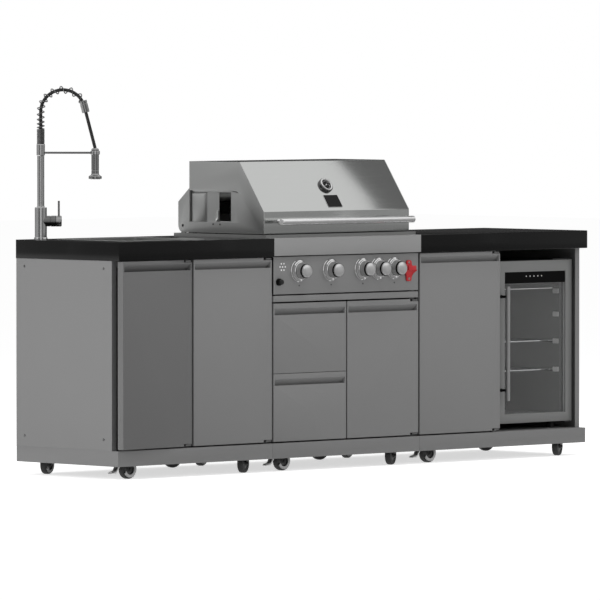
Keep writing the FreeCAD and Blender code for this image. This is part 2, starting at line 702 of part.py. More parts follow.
def fork(number, x, y, turn, brake):
    """Two legs and a crown round the wheel, a swivel race above and the axle between."""
    name = f"Fork{number}"
    low = "wheel_radius - 9"
    top = "crown_z + fork_steel"
    sides = [("-race_radius", "crown_z"), ("caster_trail - 9", "wheel_radius"),
             ("caster_trail - 6", low), ("caster_trail + 6", low),
             ("caster_trail + 9", "wheel_radius"), ("race_radius + 6", "crown_z"),
             ("race_radius", top), ("-race_radius", top)]
    wide = "wheel_wide + 2 * wheel_gap"
    legs = new_body(name + "Legs")
    pad(legs, outline(new_sketch(legs, "XZ"), sides), wide + " + 2 * fork_steel", midplane=True)
    clear = [("-race_radius - 1", "0"), ("caster_trail + wheel_radius", "0"),
             ("caster_trail + wheel_radius", "crown_z"), ("-race_radius - 1", "crown_z")]
    pocket(legs, outline(new_sketch(legs, "XZ"), clear), wide, midplane=True)
    axle_start = ("caster_trail", "-wheel_wide / 2 - wheel_gap - fork_steel", "wheel_radius")
    axle = prism(name + "Axle", axle_start, "axle_radius", wide + " + 2 * fork_steel", 6, along="y")
    race = prism(name + "Race", ("0", "0", top), "race_radius", f"race_top - ({top})", 8)
    shapes = [legs, axle, race]
    if brake:
        reach = [("-race_radius", "crown_z - 6"), ("-race_radius", top),
                 ("-race_radius - 22", "crown_z - 22"), ("-race_radius - 20", "crown_z - 27")]
        pedal = new_body(name + "Pedal")
        pad(pedal, outline(new_sketch(pedal, "XZ"), reach), "wheel_wide", midplane=True)
        shapes.append(pedal)
    bore = prism(name + "Bore", ("0", "0", "0"), "(kingpin_radius + kingpin_play) / cos(22.5)",
                 "race_top + 1", 8)
    made = cut(name, join(name + "Whole", *shapes), bore)
    move(made, (x, y, "0"), FreeCAD.Rotation(FreeCAD.Vector(0, 0, 1), turn))
    return piece(f"caster_{number}_fork", made)


def wheel(number, x, y, turn):
    """Solid wheel that runs on the fork's axle."""
    name = f"Wheel{number}"
    tread = prism(name + "Tread", ("0", "0", "-wheel_wide / 2"), "wheel_radius", "wheel_wide", 20)
    bore = rod(name + "Bore", ("0", "0", "-wheel_wide"), "axle_radius + axle_play", "2 * wheel_wide")
    place = (f"{x} + caster_trail * cos({turn})", f"{y} + caster_trail * sin({turn})",
             "wheel_radius")
    roll = FreeCAD.Rotation(FreeCAD.Vector(0, 0, 1), turn).multiply(TURNS["y"])
    return piece(f"caster_{number}_wheel", move(cut(name, tread, bore), place, roll))


def casters():
    """Twelve swivel casters, the left one in front of each cabinet with a brake pedal."""
    for i, (x, y, turn, brake) in enumerate(caster_places(), 1):
        fork(i, x, y, turn, brake)
        wheel(i, x, y, turn)


# Cabinets

def side_panel(name, x, inward, height="carcass_tall"):
    """Upright panel with a strip turned inward along its front edge and along its rear."""
    strips = (("Sheet", "sheet", "sheet", "carcass_deep - 2 * sheet"),
              ("Front", "front_flange", "0", "sheet"),
              ("Rear", "rear_flange", "carcass_deep - sheet", "sheet"))
    return [block(name + part, (x if inward > 0 else f"{x} - {wide}", f"carcass_y + {start}",
                                "plinth_top"), (wide, deep, height))
            for part, wide, start, deep in strips]


def cross_rail(name, x, top, length):
    """Angle that ties two side panels in front."""
    corners = [("0", "-rail_tall"), ("sheet", "-rail_tall"), ("sheet", "-sheet"),
               ("rail_deep", "-sheet"), ("rail_deep", "0"), ("0", "0")]
    return extruded(name, (x, "carcass_y", top), "YZ", corners, length)


def cabinet(name, start, length):
    """Two side panels and a back sheet; the grill cabinet's has the gas hose's hole."""
    left = side_panel(name + "Left", f"{start} + seam / 2", 1)
    right = side_panel(name + "Right", f"{start} + {length} - seam / 2", -1)
    inside = f"{start} + seam / 2 + sheet"
    back = block(name + "Back", (inside, "back_y - 2 * sheet", "plinth_top"),
                 (f"{length} - seam - 2 * sheet", "sheet", "carcass_tall"))
    if name == "GrillCabinet":
        hole = prism("GasHole", ("inlet_x", "back_y - 4 * sheet", "knob_high"), "inlet_hole",
                     "4 * sheet", 12, along="y")
        back = cut("HoledBack", back, hole)
    return left + right + [back]


def cabinet_shells():
    """Carcasses of the sink, grill and fridge cabinets."""
    shapes = []
    for (start, length), name in zip(MODULES, ("SinkCabinet", "GrillCabinet", "FridgeCabinet")):
        shapes += cabinet(name, start, length)
    clear = "2 * front_flange + seam"
    rail_x = "{} + seam / 2 + front_flange"
    shapes.append(cross_rail("SinkRail", rail_x.format("left_x"), "counter_under",
                             f"left_width - ({clear})"))
    shapes.append(cross_rail("GrillRail", rail_x.format("grill_x"), "grill_fronts_top",
                             f"grill_width - ({clear})"))
    shapes.append(cross_rail("FridgeRail", rail_x.format("right_x"), "counter_under",
                             "bay_x - right_x - seam / 2 - 2 * front_flange"))
    stile = [("-front_flange", "0"), ("front_flange", "0"), ("front_flange", "rail_deep"),
             ("front_flange - sheet", "rail_deep"), ("front_flange - sheet", "sheet"),
             ("sheet - front_flange", "sheet"), ("sheet - front_flange", "rail_deep"),
             ("-front_flange", "rail_deep")]
    middle = ("door_2_x - door_mid_gap / 2", "carcass_y", "plinth_top")
    shapes.append(extruded("SinkStile", middle, "XY", stile, "carcass_tall - rail_tall"))
    shapes += side_panel("DrawerWall", "door_3_x - drawer_door_gap / 2", 1,
                         "grill_fronts_top - rail_tall - plinth_top")
    shapes += side_panel("BayWall", "bay_x", -1)
    reach = "base_depth - tub_back - 4"
    deck = [("0", "0"), ("sheet", "0"), ("sheet", "counter_thick - sheet"),
            (reach, "counter_thick - sheet"), (reach, "counter_thick"), ("0", "counter_thick")]
    corners = [(across if across == "0" else f"-1 * ({across})", up) for across, up in deck]
    shapes.append(extruded("RearDeck", ("grill_x", "back_y", "counter_under"), "YZ", corners,
                           "grill_width"))
    return piece("cabinet_shells", group("CabinetShells", *shapes))


def worktop(name, start, length, *openings):
    """Slab with a deep built-up edge, hollow beneath."""
    outer = block(name + "Block", (start, "front_y - counter_front", "counter_under"),
                  (length, "base_depth + counter_front", "counter_thick"))
    within = (f"{start} + counter_rim", "front_y - counter_front + counter_rim", "counter_under - 1")
    hollow = block(name + "Hollow", within, (f"{length} - 2 * counter_rim",
                   "base_depth + counter_front - 2 * counter_rim",
                   "counter_thick - counter_slab + 1"))
    return cut(name, outer, hollow, *openings)


def countertops():
    """Left worktop with its sink and tap holes, right worktop plain."""
    grow = "bowl_steel + cutout_play"
    sink_hole = block("SinkCutout", (f"bowl_x - ({grow})", f"bowl_y - ({grow})", "counter_under"),
                      (f"bowl_wide + 2 * ({grow})", f"bowl_long + 2 * ({grow})",
                       "counter_thick + 1"))
    tap_hole = prism("TapCutout", ("tap_x", "tap_y", "counter_under"),
                     "(shank_radius + 1) / cos(22.5)", "counter_thick + 1", 8)
    left = worktop("LeftTop", "left_x - counter_side", "left_width + counter_side",
                   sink_hole, tap_hole)
    right = worktop("RightTop", "right_x", "right_width + counter_side")
    return piece("countertops", group("Countertops", left, right))


# Sink and tap

def cut_cornered(name, corner, lengths, away):
    """Upright block with its four corners cut off."""
    across, deep, tall = lengths
    corners = [(away, "0"), (f"{across} - ({away})", "0"), (across, away),
               (across, f"{deep} - ({away})"), (f"{across} - ({away})", deep), (away, deep),
               ("0", f"{deep} - ({away})"), ("0", away)]
    return extruded(name, corner, "XY", corners, tall)


def sink():
    """Pressed bowl with a flat rim, and its drain with the tail below."""
    steel = "bowl_steel"
    low = "counter_height - bowl_deep"
    rim = cut_cornered("SinkRim", ("bowl_x - bowl_rim", "bowl_y - bowl_rim", "counter_height"),
                       ("bowl_wide + 2 * bowl_rim", "bowl_long + 2 * bowl_rim", "rim_thick"),
                       "bowl_corner")
    outer = cut_cornered("BowlOutside", (f"bowl_x - {steel}", f"bowl_y - {steel}", f"{low} - {steel}"),
                         (f"bowl_wide + 2 * {steel}", f"bowl_long + 2 * {steel}",
                          f"bowl_deep + {steel}"), "bowl_corner")
    inner = cut_cornered("BowlInside", ("bowl_x", "bowl_y", low),
                         ("bowl_wide", "bowl_long", "bowl_deep + rim_thick + 1"), "bowl_corner")
    hole = prism("DrainHole", ("drain_x", "drain_y", f"{low} - 2 * {steel}"),
                 "drain_neck + rim_thick / 2", f"4 * {steel}", 16)
    bowl = cut("Bowl", join("BowlPressing", rim, outer), inner, hole)
    neck_low = "-2 * drain_thick"
    profile = [("tail_bore", "-tail_long"), ("tail_radius", "-tail_long"), ("tail_radius", neck_low),
               ("drain_neck", neck_low), ("drain_neck", "0"), ("drain_radius", "0"),
               ("drain_radius", "drain_thick"), ("tail_bore", "drain_thick")]
    drain = turned("Drain", ("drain_x", "drain_y", low), profile)
    return piece("sink", group("Sink", bowl, drain))


def on_tap(obj):
    """Put a piece that was made round the tap's axis in its place."""
    spin(obj, FreeCAD.Vector(0, 0, -1), "tap_turn")
    return move(obj, ("tap_x", "tap_y", "counter_height"))


def tap_body():
    """Foot, body and mixer housing, with the shank and supply tails under the worktop."""
    foot = prism("TapFoot", ("0", "0", "0"), "tap_base_radius", "tap_base_tall", 16)
    body = prism("TapPost", ("0", "0", "0"), "tap_body_radius", "tap_body_tall", 16)
    mixer = rod("Mixer", ("0", "0", "mixer_high"), "mixer_radius", "mixer_reach", along="x")
    shank = prism("Shank", ("0", "0", "-shank_long"), "shank_radius", "shank_long", 8)
    shapes = [foot, body, mixer, shank]
    for side, sign in (("Hot", ""), ("Cold", "-")):
        start = ("0", f"{sign}shank_radius / 2", "-shank_long - tail_pipe_long")
        shapes.append(prism(side + "Tail", start, "tail_pipe_radius", "tail_pipe_long", 6))
    return piece("tap_body", on_tap(join("TapBody", *shapes)))


def tap_lever():
    """Cap on the end of the mixer with an upright pin."""
    cap = prism("LeverCap", ("mixer_reach", "0", "mixer_high"), "mixer_radius", "lever_cap", 16,
                along="x")
    start = ("mixer_reach + lever_cap / 2", "0", "mixer_high")
    lever = prism("LeverPin", start, "lever_radius", "mixer_radius + lever_long", 6)
    return piece("tap_lever", on_tap(join("TapLever", cap, lever)))


def tap_column():
    """Column, collar, support arm and dock ring in one, and the spring's loose end sleeve."""
    column = rod("Column", ("0", "0", "tap_body_tall"), "column_radius",
                 "column_top - tap_body_tall")
    collar = prism("Collar", ("0", "0", "column_top"), "collar_radius", "collar_tall", 16)
    arm_z = "column_top + collar_tall - arm_drop"
    arm = prism("Arm", ("0", "0", arm_z), "arm_radius", "head_out - dock_radius + 1", 8, along="x")
    low = f"{arm_z} - dock_tall / 2"
    ring = prism("DockRing", ("head_out", "0", low), "dock_radius", "dock_tall", 16)
    bore = rod("DockBore", ("head_out", "0", f"{low} - 1"), "head_radius + dock_play",
               "dock_tall + 2")
    spout = cut("Spout", join("SpoutWhole", column, collar, arm, ring), bore)
    tube = prism("SleeveTube", ("0", "0", "0"), "sleeve_radius", "sleeve_long", 12)
    clear = prism("SleeveBore", ("0", "0", "-1"), "sleeve_bore / cos(22.5)",
                  "sleeve_long + 2", 8)
    half = "sleeve_long / 2"
    place = (f"arch_radius * (1 + cos(drop_angle)) - {half} * sin(drop_angle)", "0",
             f"arch_rise + arch_radius * sin(drop_angle) + {half} * cos(drop_angle)")
    sleeve = spin(cut("Sleeve", tube, clear), FreeCAD.Vector(0, 1, 0), "180 - drop_angle")
    move(sleeve, place)
    return piece("tap_column", on_tap(group("TapColumn", spout, sleeve)))


def spray_head():
    """Barrel over a wide rose."""
    rose = prism("Rose", ("0", "0", "0"), "rose_radius", "rose_tall", 16)
    barrel = prism("Barrel", ("0", "0", "0"), "head_radius", "head_long", 16)
    head = join("SprayHead", rose, barrel)
    move(head, ("tap_x + head_out * cos(tap_turn)", "tap_y - head_out * sin(tap_turn)",
                "counter_height + head_top - head_long"))
    return piece("spray_head", head)


def arch_point(far):
    """Centre and heading of the hose, far millimetres above the collar."""
    rise = size("arch_rise") - size("column_top") - size("collar_tall")
    radius = size("arch_radius")
    lean = math.radians(size("drop_angle"))
    bend = radius * (math.pi - lean)
    if far < rise:
        return FreeCAD.Vector(0, 0, size("arch_rise") - rise + far), FreeCAD.Vector(0, 0, 1)
    around = math.pi - min(far - rise, bend) / radius
    centre = FreeCAD.Vector(radius, 0, size("arch_rise"))
    out = FreeCAD.Vector(math.cos(around), 0, math.sin(around))
    heading = FreeCAD.Vector(math.sin(around), 0, -math.cos(around))
    return centre + out * radius + heading * max(0, far - rise - bend), heading


def arch_length():
    """Length of the hose's upright run and arch."""
    rise = size("arch_rise") - size("column_top") - size("collar_tall")
    return rise + size("arch_radius") * (math.pi - math.radians(size("drop_angle")))


def at_tap(name, solid):
    """Feature that holds a swept solid in the tap's place."""
    feature = doc.addObject("Part::Feature", name)
    feature.Shape = solid
    turn = FreeCAD.Rotation(FreeCAD.Vector(0, 0, 1), -size("tap_turn"))
    spot = FreeCAD.Vector(size("tap_x"), size("tap_y"), size("counter_height"))
    feature.Placement = FreeCAD.Placement(spot, turn)
    return feature


def swept(edges, radius, sides):
    """Bar of some flat sides along a path."""
    path = Part.Wire(edges)
    first = path.Edges[0]
    start = first.valueAt(first.FirstParameter)
    heading = first.tangentAt(first.FirstParameter)
    ring = Part.Circle(start, heading, radius)
    corners = [ring.value(2 * math.pi * i / sides) for i in range(sides)]
    section = Part.makePolygon(corners + [corners[0]])
    return path.makePipeShell([section], True, False)


def tap_hose():
    """Hose from the collar over the arch and down to the spray head, on three tangent runs."""
    start, heading = arch_point(0)
    rise_end = FreeCAD.Vector(0, 0, size("arch_rise"))
    crown, heading = arch_point(arch_length() / 2)
    bend_end, heading = arch_point(arch_length())
    fall = bend_end.z - size("head_top")
    spare = size("hose_radius") * math.sin(math.radians(size("drop_angle"))) + 0.3
    last = bend_end + heading * ((fall - spare) / -heading.z)
    path = [Part.LineSegment(start, rise_end).toShape(),
            Part.Arc(rise_end, crown, bend_end).toShape(),
            Part.LineSegment(bend_end, last).toShape()]
    return piece("tap_hose", at_tap("TapHose", swept(path, size("hose_radius"), 6)))


def coil_far(turn, length):
    """Distance along the arch after some turns: closed at first, then opening out."""
    tight = size("coil_tight")
    closed = size("coil_closed")
    if turn < closed:
        return tight * turn
    settle = size("coil_settle")
    count = size("coil_open")
    whole = settle * (1 - math.exp(-count / settle))
    far_pitch = (length - tight * (closed + whole)) / (count - whole)
    part = settle * (1 - math.exp(-(turn - closed) / settle))
    return tight * closed + far_pitch * (turn - closed) - (far_pitch - tight) * part


def coil_point(turn, start, length):
    """Point on the spring wire's centre line."""
    centre, heading = arch_point(start + coil_far(turn, length))
    side = FreeCAD.Vector(0, 1, 0)
    up = side.cross(heading)
    angle = 2 * math.pi * turn
    return centre + (up * math.cos(angle) + side * math.sin(angle)) * size("coil_radius")


def arc_from(start, heading, end):
    """Arc that leaves a point along a heading."""
    chord = end - start
    half = heading.getAngle(chord) / 2
    middle = FreeCAD.Vector(heading + FreeCAD.Vector(chord).normalize()).normalize()
    via = start + middle * (chord.Length / 2 / math.cos(half))
    return Part.Arc(start, via, end).toShape()


def biarc(start, leaving, end, arriving):
    """Two tangent arcs between two points with headings."""
    chord = end - start
    both = leaving + arriving
    spread = 2 * (1 - leaving.dot(arriving))
    reach = chord.dot(both)
    step = (math.sqrt(reach * reach + spread * chord.dot(chord)) - reach) / spread
    middle = (start + end + (leaving - arriving) * step) / 2
    back = arc_from(end, -arriving, middle)
    via = back.valueAt((back.FirstParameter + back.LastParameter) / 2)
    return [arc_from(start, leaving, middle), Part.Arc(middle, via, end).toShape()]


def tap_spring():
    """One wire: closed turns on the collar, then opening out over the arch to the sleeve."""
    wire = size("coil_wire")
    lead = 3 * wire
    sleeve_top = arch_length() - size("sleeve_long") / 2
    length = sleeve_top - 2 * lead
    turns = size("coil_closed") + size("coil_open")
    steps = [i / 2 for i in range(int(2 * turns) + 1)]
    points = [coil_point(step, lead, length) for step in steps]
    ahead = [coil_point(step + 0.001, lead, length) for step in steps]
    behind = [coil_point(step - 0.001, lead, length) for step in steps]
    headings = [(a - b).normalize() for a, b in zip(ahead, behind)]
    edges = []
    foot, up = arch_point(0)
    quarter = 2 * math.pi / 8
    foot = foot + FreeCAD.Vector(-math.cos(quarter), -math.sin(quarter), 0) * size("coil_radius")
    edges.append(Part.LineSegment(foot, foot + up * wire).toShape())
    edges += biarc(foot + up * wire, up, points[0], headings[0])
    for i in range(len(points) - 1):
        edges += biarc(points[i], headings[i], points[i + 1], headings[i + 1])
    centre, fall = arch_point(sleeve_top)
    side = FreeCAD.Vector(0, 1, 0)
    out = side.cross(fall)
    tail = centre + (out * math.cos(quarter) + side * math.sin(quarter)) * size("coil_radius")
    edges += biarc(points[-1], headings[-1], tail - fall * wire, fall)
    edges.append(Part.LineSegment(tail - fall * wire, tail).toShape())
    report_gap(lead, length, turns)
    return piece("tap_spring", at_tap("TapSpring", swept(edges, wire / 2, 4)))


def report_gap(lead, length, turns):
    """Print the least gap between neighbouring turns of the spring."""
    samples = 48
    points = [coil_point(i / samples, lead, length) for i in range(int(samples * turns))]
    least = min(points[i].distanceToPoint(points[j]) for i in range(len(points))
                for j in range(i + samples // 2, min(i + 2 * samples, len(points))))
    print(f"spring: least gap between turns {least - size('coil_wire'):.2f} mm")


# Doors, drawers and drip tray

def front_slab(name, place, left, width, tall, lip):
    """Flat front with a finger trough under its upper lip and a hollow back."""
    body = new_body(name, place)
    half = "door_thick / 2"
    right = f"{left} + {width}"
    slab = [(left, f"-{half}"), (right, f"-{half}"), (right, half), (left, half)]
    pad(body, outline(new_sketch(body, "XY"), slab), tall)
    ledge = f"{tall} - {lip} - trough_tall"
    trough = [(f"-{half} - 1", f"{tall} - {lip}"), (f"-{half}", f"{tall} - {lip}"),
              (f"trough_deep - {half}", ledge), (f"-{half} - 1", ledge)]
    start = f"{left} + trough_end"
    pocket(body, outline(new_sketch(body, "YZ", start), trough), f"{width} - 2 * trough_end", True)
    back = [(f"{left} + back_border", "back_border"), (f"{right} - back_border", "back_border"),
            (f"{right} - back_border", f"{ledge} - 10"), (f"{left} + back_border", f"{ledge} - 10")]
    pocket(body, outline(new_sketch(body, "XZ", f"back_recess - {half}"), back), "back_recess + 1")
    return body


def door(node, left, width, tall, ajar=False):
    """Hinged front; its own origin is on the hinge axis."""
    place = (f"{left} + {width} - pivot_inset", "pivot_y", "door_low")
    body = front_slab(node.title().replace("_", ""), place, f"pivot_inset - ({width})", width,
                      tall, "lip_tall" if tall == "door_tall" else "drawer_lip")
    inner = "pivot_inset - notch_wide"
    outer = "pivot_inset + 1"
    notches = new_sketch(body, "XZ")
    outline(notches, [(inner, "-1"), (outer, "-1"), (outer, "notch_tall"), (inner, "notch_tall")])
    roof = f"{tall} - notch_tall"
    outline(notches, [(inner, roof), (outer, roof), (outer, f"{tall} + 1"), (inner, f"{tall} + 1")])
    pocket(body, notches, "door_thick + 2", midplane=True)
    bore = "pivot_radius + pivot_play"
    depth = "pivot_long + 1"
    low = outline(new_sketch(body, "XY", "notch_tall"), eight_sides("0", "0", bore))
    pocket(body, low, depth, True)
    pocket(body, circle(new_sketch(body, "XY", roof), "0", "0", bore), depth)
    if ajar:
        spin(body, FreeCAD.Vector(0, 0, 1), "door_ajar")
        move(body, place)
    return piece(node, body)


def doors():
    """The four solid doors."""
    door("door_1", "door_1_x", "door_1_width", "door_tall", ajar=True)
    door("door_2", "door_2_x", "door_2_width", "door_tall")
    door("door_3", "door_3_x", "door_3_width", "grill_fronts_top - door_low")
    door("door_4", "door_4_x", "door_4_width", "door_tall")


def open_box(name, corner, lengths, steel):
    """Box open at the top, of a bottom sheet with four wall sheets on it."""
    x, y, z = corner
    across, deep, tall = lengths
    rest = f"{tall} - {steel}"
    top = f"{z} + {steel}"
    inner = f"{deep} - 2 * {steel}"
    return [block(name + "Bottom", corner, (across, deep, steel)),
            block(name + "Front", (x, y, top), (across, steel, rest)),
            block(name + "Rear", (x, f"{y} + {deep} - {steel}", top), (across, steel, rest)),
            block(name + "Left", (x, f"{y} + {steel}", top), (steel, inner, rest)),
            block(name + "Right", (f"{x} + {across} - {steel}", f"{y} + {steel}", top),
                  (steel, inner, rest))]


def drawer(node, low, tall):
    """Drawer front with its box behind."""
    name = node.title().replace("_", "")
    front = front_slab(name + "Front", ("drawer_x", "pivot_y", low), "0", "drawer_width", tall,
                       "drawer_lip")
    box = open_box(name + "Box", ("drawer_x + drawer_side_gap", "pivot_y + door_thick / 2",
                                  f"{low} + drawer_box_low"),
                   ("drawer_width - 2 * drawer_side_gap", "drawer_deep",
                    f"{tall} - drawer_box_low - drawer_box_short"), "drawer_steel")
    return piece(node, group(name, front, *box))


def drip_tray():
    """Grease tray with a plain bar front."""
    front = block("TrayFront", ("drawer_x", "face_y", "tray_front_z"),
                  ("grill_fronts_wide", "door_thick", "tray_front_tall"))
    box = open_box("TrayBox", ("drawer_x + tray_side", "face_y + door_thick",
                               "tray_front_z + tray_low"),
                   ("grill_fronts_wide - 2 * tray_side", "tray_deep", "tray_wall"), "drawer_steel")
    return piece("drip_tray", group("DripTray", front, *box))


# Control panel

def knob_places():
    """Across positions of the five knobs."""
    rows = [f"knob_x + {i} * knob_pitch" for i in range(int(size("knob_count")))]
    return rows + ["knob_5_x"]


def control_panel():
    """Folded panel with its bezels, and the fascia above it."""
    deep = "door_thick + door_back_gap"
    fold = [("0", "0"), (deep, "0"), (deep, "panel_steel"), ("panel_steel", "panel_steel"),
            ("panel_steel", "panel_tall - panel_steel"), (deep, "panel_tall - panel_steel"),
            (deep, "panel_tall"), ("0", "panel_tall")]
    sheet = extruded("PanelSheet", ("drawer_x", "face_y", "panel_z"), "YZ", fold,
                     "grill_fronts_wide")
    holes = [prism(f"StemHole{i}", (x, "face_y - 1", "knob_high"), "panel_hole", "panel_steel + 2",
                   8, along="y") for i, x in enumerate(knob_places())]
    shapes = [cut("Panel", sheet, *holes)]
    for i, x in enumerate(knob_places()):
        place = (x, "face_y - bezel_deep", "knob_high")
        shapes.append(cut(f"Bezel{i}", prism(f"BezelDisc{i}", place, "bezel_radius", "bezel_deep", 16,
                                             along="y"),
                          prism(f"BezelHole{i}", place, "panel_hole", "bezel_deep", 8, along="y")))
    place = ("grill_x + igniter_left", "face_y - igniter_bezel_deep", "igniter_high")
    shapes.append(cut("IgniterBezel", prism("IgniterDisc", place, "igniter_bezel",
                                            "igniter_bezel_deep", 12, along="y"),
                      prism("IgniterHole", place, "igniter_radius + slide_play",
                            "igniter_bezel_deep", 12, along="y")))
    over = "counter_front + tub_front - 4"
    tall = "counter_thick - fascia_rise"
    brow = [("0", "0"), ("rail_tall", "0"), ("rail_tall", "panel_steel"),
            ("panel_steel", "panel_steel"), ("panel_steel", f"{tall} - panel_steel"),
            (over, f"{tall} - panel_steel"), (over, tall), ("0", tall)]
    shapes.append(extruded("Fascia", ("grill_x + seam / 2", "front_y - counter_front",
                                      "counter_under + fascia_rise"), "YZ", brow,
                           "grill_width - seam"))
    return piece("control_panel", group("ControlPanel", *shapes))


def knob(number, across):
    """Skirt, neck and cap, with a blind bore over the valve stem."""
    name = f"Knob{number}"

    def ring(word, radius, start, end):
        return prism(name + word, (across, f"face_y - ({end})", "knob_high"), radius,
                     f"{end} - ({start})", 20, along="y")

    shapes = [ring("Skirt", "knob_radius", "bezel_deep + slide_play", "skirt_end"),
              ring("Neck", "knob_neck", "skirt_end", "cap_start"),
              ring("Cap", "cap_radius", "cap_start", "knob_reach")]
    bore = prism(name + "Bore", (across, "face_y - skirt_end - 1", "knob_high"),
                 "(stem_radius + stem_play) / cos(22.5)", "skirt_end + 1", 8, along="y")
    return piece(f"knob_{number}", cut(name, join(name + "Whole", *shapes), bore))


def igniter_button():
    """Push button in its bezel."""
    place = ("grill_x + igniter_left", "face_y - igniter_reach", "igniter_high")
    return piece("igniter_button", prism("IgniterButton", place, "igniter_radius",
                                         "igniter_reach - igniter_travel - slide_play", 12,
                                         along="y"))


def bottle_opener():
    """Cast opener with two wings and a hook, on two screws."""
    x = "right_x - opener_right"
    low = "opener_high - opener_tall / 2"
    half = "opener_half"
    tall = "opener_tall"
    corners = [("-13", "0"), ("13", "0"), ("16", f"{tall} * 0.2"), ("20", f"{tall} * 0.42"),
               (half, f"{tall} * 0.5"), (half, f"{tall} * 0.82"), ("17", f"{tall} * 0.86"),
               ("14", tall), ("-14", tall), ("-17", f"{tall} * 0.86"),
               (f"-{half}", f"{tall} * 0.82"), (f"-{half}", f"{tall} * 0.5"),
               ("-20", f"{tall} * 0.42"), ("-16", f"{tall} * 0.2")]
    plate = extruded("OpenerPlate", (x, "face_y - opener_base", low), "XZ", corners, "opener_base")
    side = [("0", f"{tall} * 0.5"), ("0", f"{tall} * 0.82"), ("-1 * opener_reach + opener_base",
            f"{tall} * 0.72"), ("-1 * opener_reach + opener_base", f"{tall} * 0.56"),
            ("-8", f"{tall} * 0.62")]
    hook = extruded("OpenerHook", (f"{x} - {half} + 3", "face_y - opener_base", low), "YZ", side,
                    f"2 * {half} - 6")
    shapes = [join("Opener", plate, hook)]
    for sign in "-+":
        spot = (x, "face_y - opener_base - screw_rise", f"opener_high {sign} opener_screws / 2")
        shapes.append(prism("OpenerScrew" + ("Low" if sign == "-" else "High"), spot,
                            "screw_head / 2", "screw_rise", 6, along="y"))
    return piece("bottle_opener", group("BottleOpener", *shapes))


# Grill

def firebox():
    """Open-bottomed tub under a flanged rim, with ledges and the hood's hinge ears."""
    tall = "tub_top - tub_low"
    steel = "tub_steel"
    rim = block("RimBlock", ("ring_x", "ring_y", "ring_z"), ("ring_wide", "ring_deep", "ring_tall"))
    under = block("RimUnder", ("ring_x + ring_steel", "ring_y + ring_steel", "ring_z - 1"),
                  ("ring_wide - 2 * ring_steel", "ring_deep - 2 * ring_steel",
                   "ring_tall - ring_steel + 1"))
    walls = block("TubBlock", ("tub_x", "tub_y", "tub_low"), ("tub_wide", "tub_long", tall))
    inside = block("TubInside", (f"tub_x + {steel}", f"tub_y + {steel}", "tub_low - 1"),
                   (f"tub_wide - 2 * {steel}", f"tub_long - 2 * {steel}", "ring_top - tub_low + 2"))
    shapes = [join("RimAndTub", cut("Rim", rim, under), walls)]
    wide = "burner_radius + slide_play"
    holes = [block(f"BurnerHole{i}", (f"{x} - ({wide})", "tub_y - 1", f"knob_high - ({wide})"),
                   (f"2 * ({wide})", f"{steel} + 2", f"2 * ({wide})"))
             for i, x in enumerate(knob_places()[:-1])]
    tub = cut("Tub", shapes[0], inside, *holes)
    ledges = []
    for i, top in enumerate(("grate_z", "grate_z - tamer_low")):
        for j, y in enumerate((f"tub_y + {steel}", f"tub_y + tub_long - {steel} - ledge_deep")):
            ledges.append(block(f"Ledge{i}{j}", (f"tub_x + {steel}", y, f"{top} - ledge_thick"),
                                (f"tub_wide - 2 * {steel}", "ledge_deep", "ledge_thick")))
    ears = []
    for name, x, way in (("Left", "hood_x + hood_end + 0.5", -1),
                         ("Right", "hood_x + hood_width - hood_end - 6.5", 1)):
        ears.append(block("Ear" + name, (x, "hinge_y - 12", "ring_top - ring_steel"),
                          ("6", "24", "hinge_z + 12 - ring_top + ring_steel")))
        start = x + (" - 0.5 - hood_end" if way < 0 else " + 6")
        ears.append(prism("EarPin" + name, (start, "hinge_y", "hinge_z"), "hinge_pin",
                          "0.5 + hood_end", 6, along="x"))
    return piece("firebox", join("Firebox", tub, *ledges, *ears))


def gas_line():
    """Pipe and elbows from the manifold's right end, past the firebox, to the inlet at the back."""
    x = "manifold_x + manifold_long"
    half = "elbow / 2"
    low = f"knob_high - {half}"
    cube = ("elbow", "elbow", "elbow")
    return [block("FrontElbow", (x, f"manifold_y - {half}", low), cube),
            prism("SidePipe", (f"{x} + {half}", f"manifold_y + {half}", "knob_high"), "gas_pipe",
                  "inlet_y - manifold_y - elbow", 8, along="y"),
            block("RearElbow", (x, f"inlet_y - {half}", low), cube),
            prism("BackPipe", (f"inlet_x + {half}", "inlet_y", "knob_high"), "gas_pipe",
                  f"{x} - inlet_x - {half}", 8, along="x"),
            block("InletElbow", (f"inlet_x - {half}", f"inlet_y - {half}", low), cube),
            rod("InletTail", ("inlet_x", f"inlet_y + {half}", "knob_high"), "inlet_radius",
                "inlet_long", along="y")]


def gas_burners():
    """Manifold with its gas line, a valve and stem for each knob, the tubes and the rear burner."""
    half = "manifold_half"
    shapes = [block("Manifold", ("manifold_x", f"manifold_y - {half}", f"knob_high - {half}"),
                    ("manifold_long", f"2 * {half}", f"2 * {half}"))]
    wide = "valve_half"
    front = "face_y + panel_steel + valve_front"
    for i, x in enumerate(knob_places()):
        shapes.append(rod(f"Stem{i}", (x, "face_y - skirt_end", "knob_high"), "stem_radius",
                          "skirt_end + panel_steel + valve_front", along="y"))
        shapes.append(block(f"Valve{i}", (f"{x} - {wide}", front, f"knob_high - {wide}"),
                            (f"2 * {wide}", f"manifold_y - {half} - ({front})", f"2 * {wide}")))
    for i, x in enumerate(knob_places()[:-1]):
        shapes.append(prism(f"Tube{i}", (x, f"manifold_y + {half}", "knob_high"), "burner_radius",
                            f"tub_y + tub_long - 40 - manifold_y - {half}", 8, along="y"))
    lap = "rear_burner_lap"
    shapes.append(block("RearBurner", (f"tub_x - {lap}", "front_y + tub_back - rear_burner_gap"
                                       " - rear_burner_deep", "ring_top"),
                        (f"tub_wide + 2 * {lap}", "rear_burner_deep", "rear_burner_tall")))
    return piece("gas_burners", group("GasBurners", *shapes, *gas_line()))


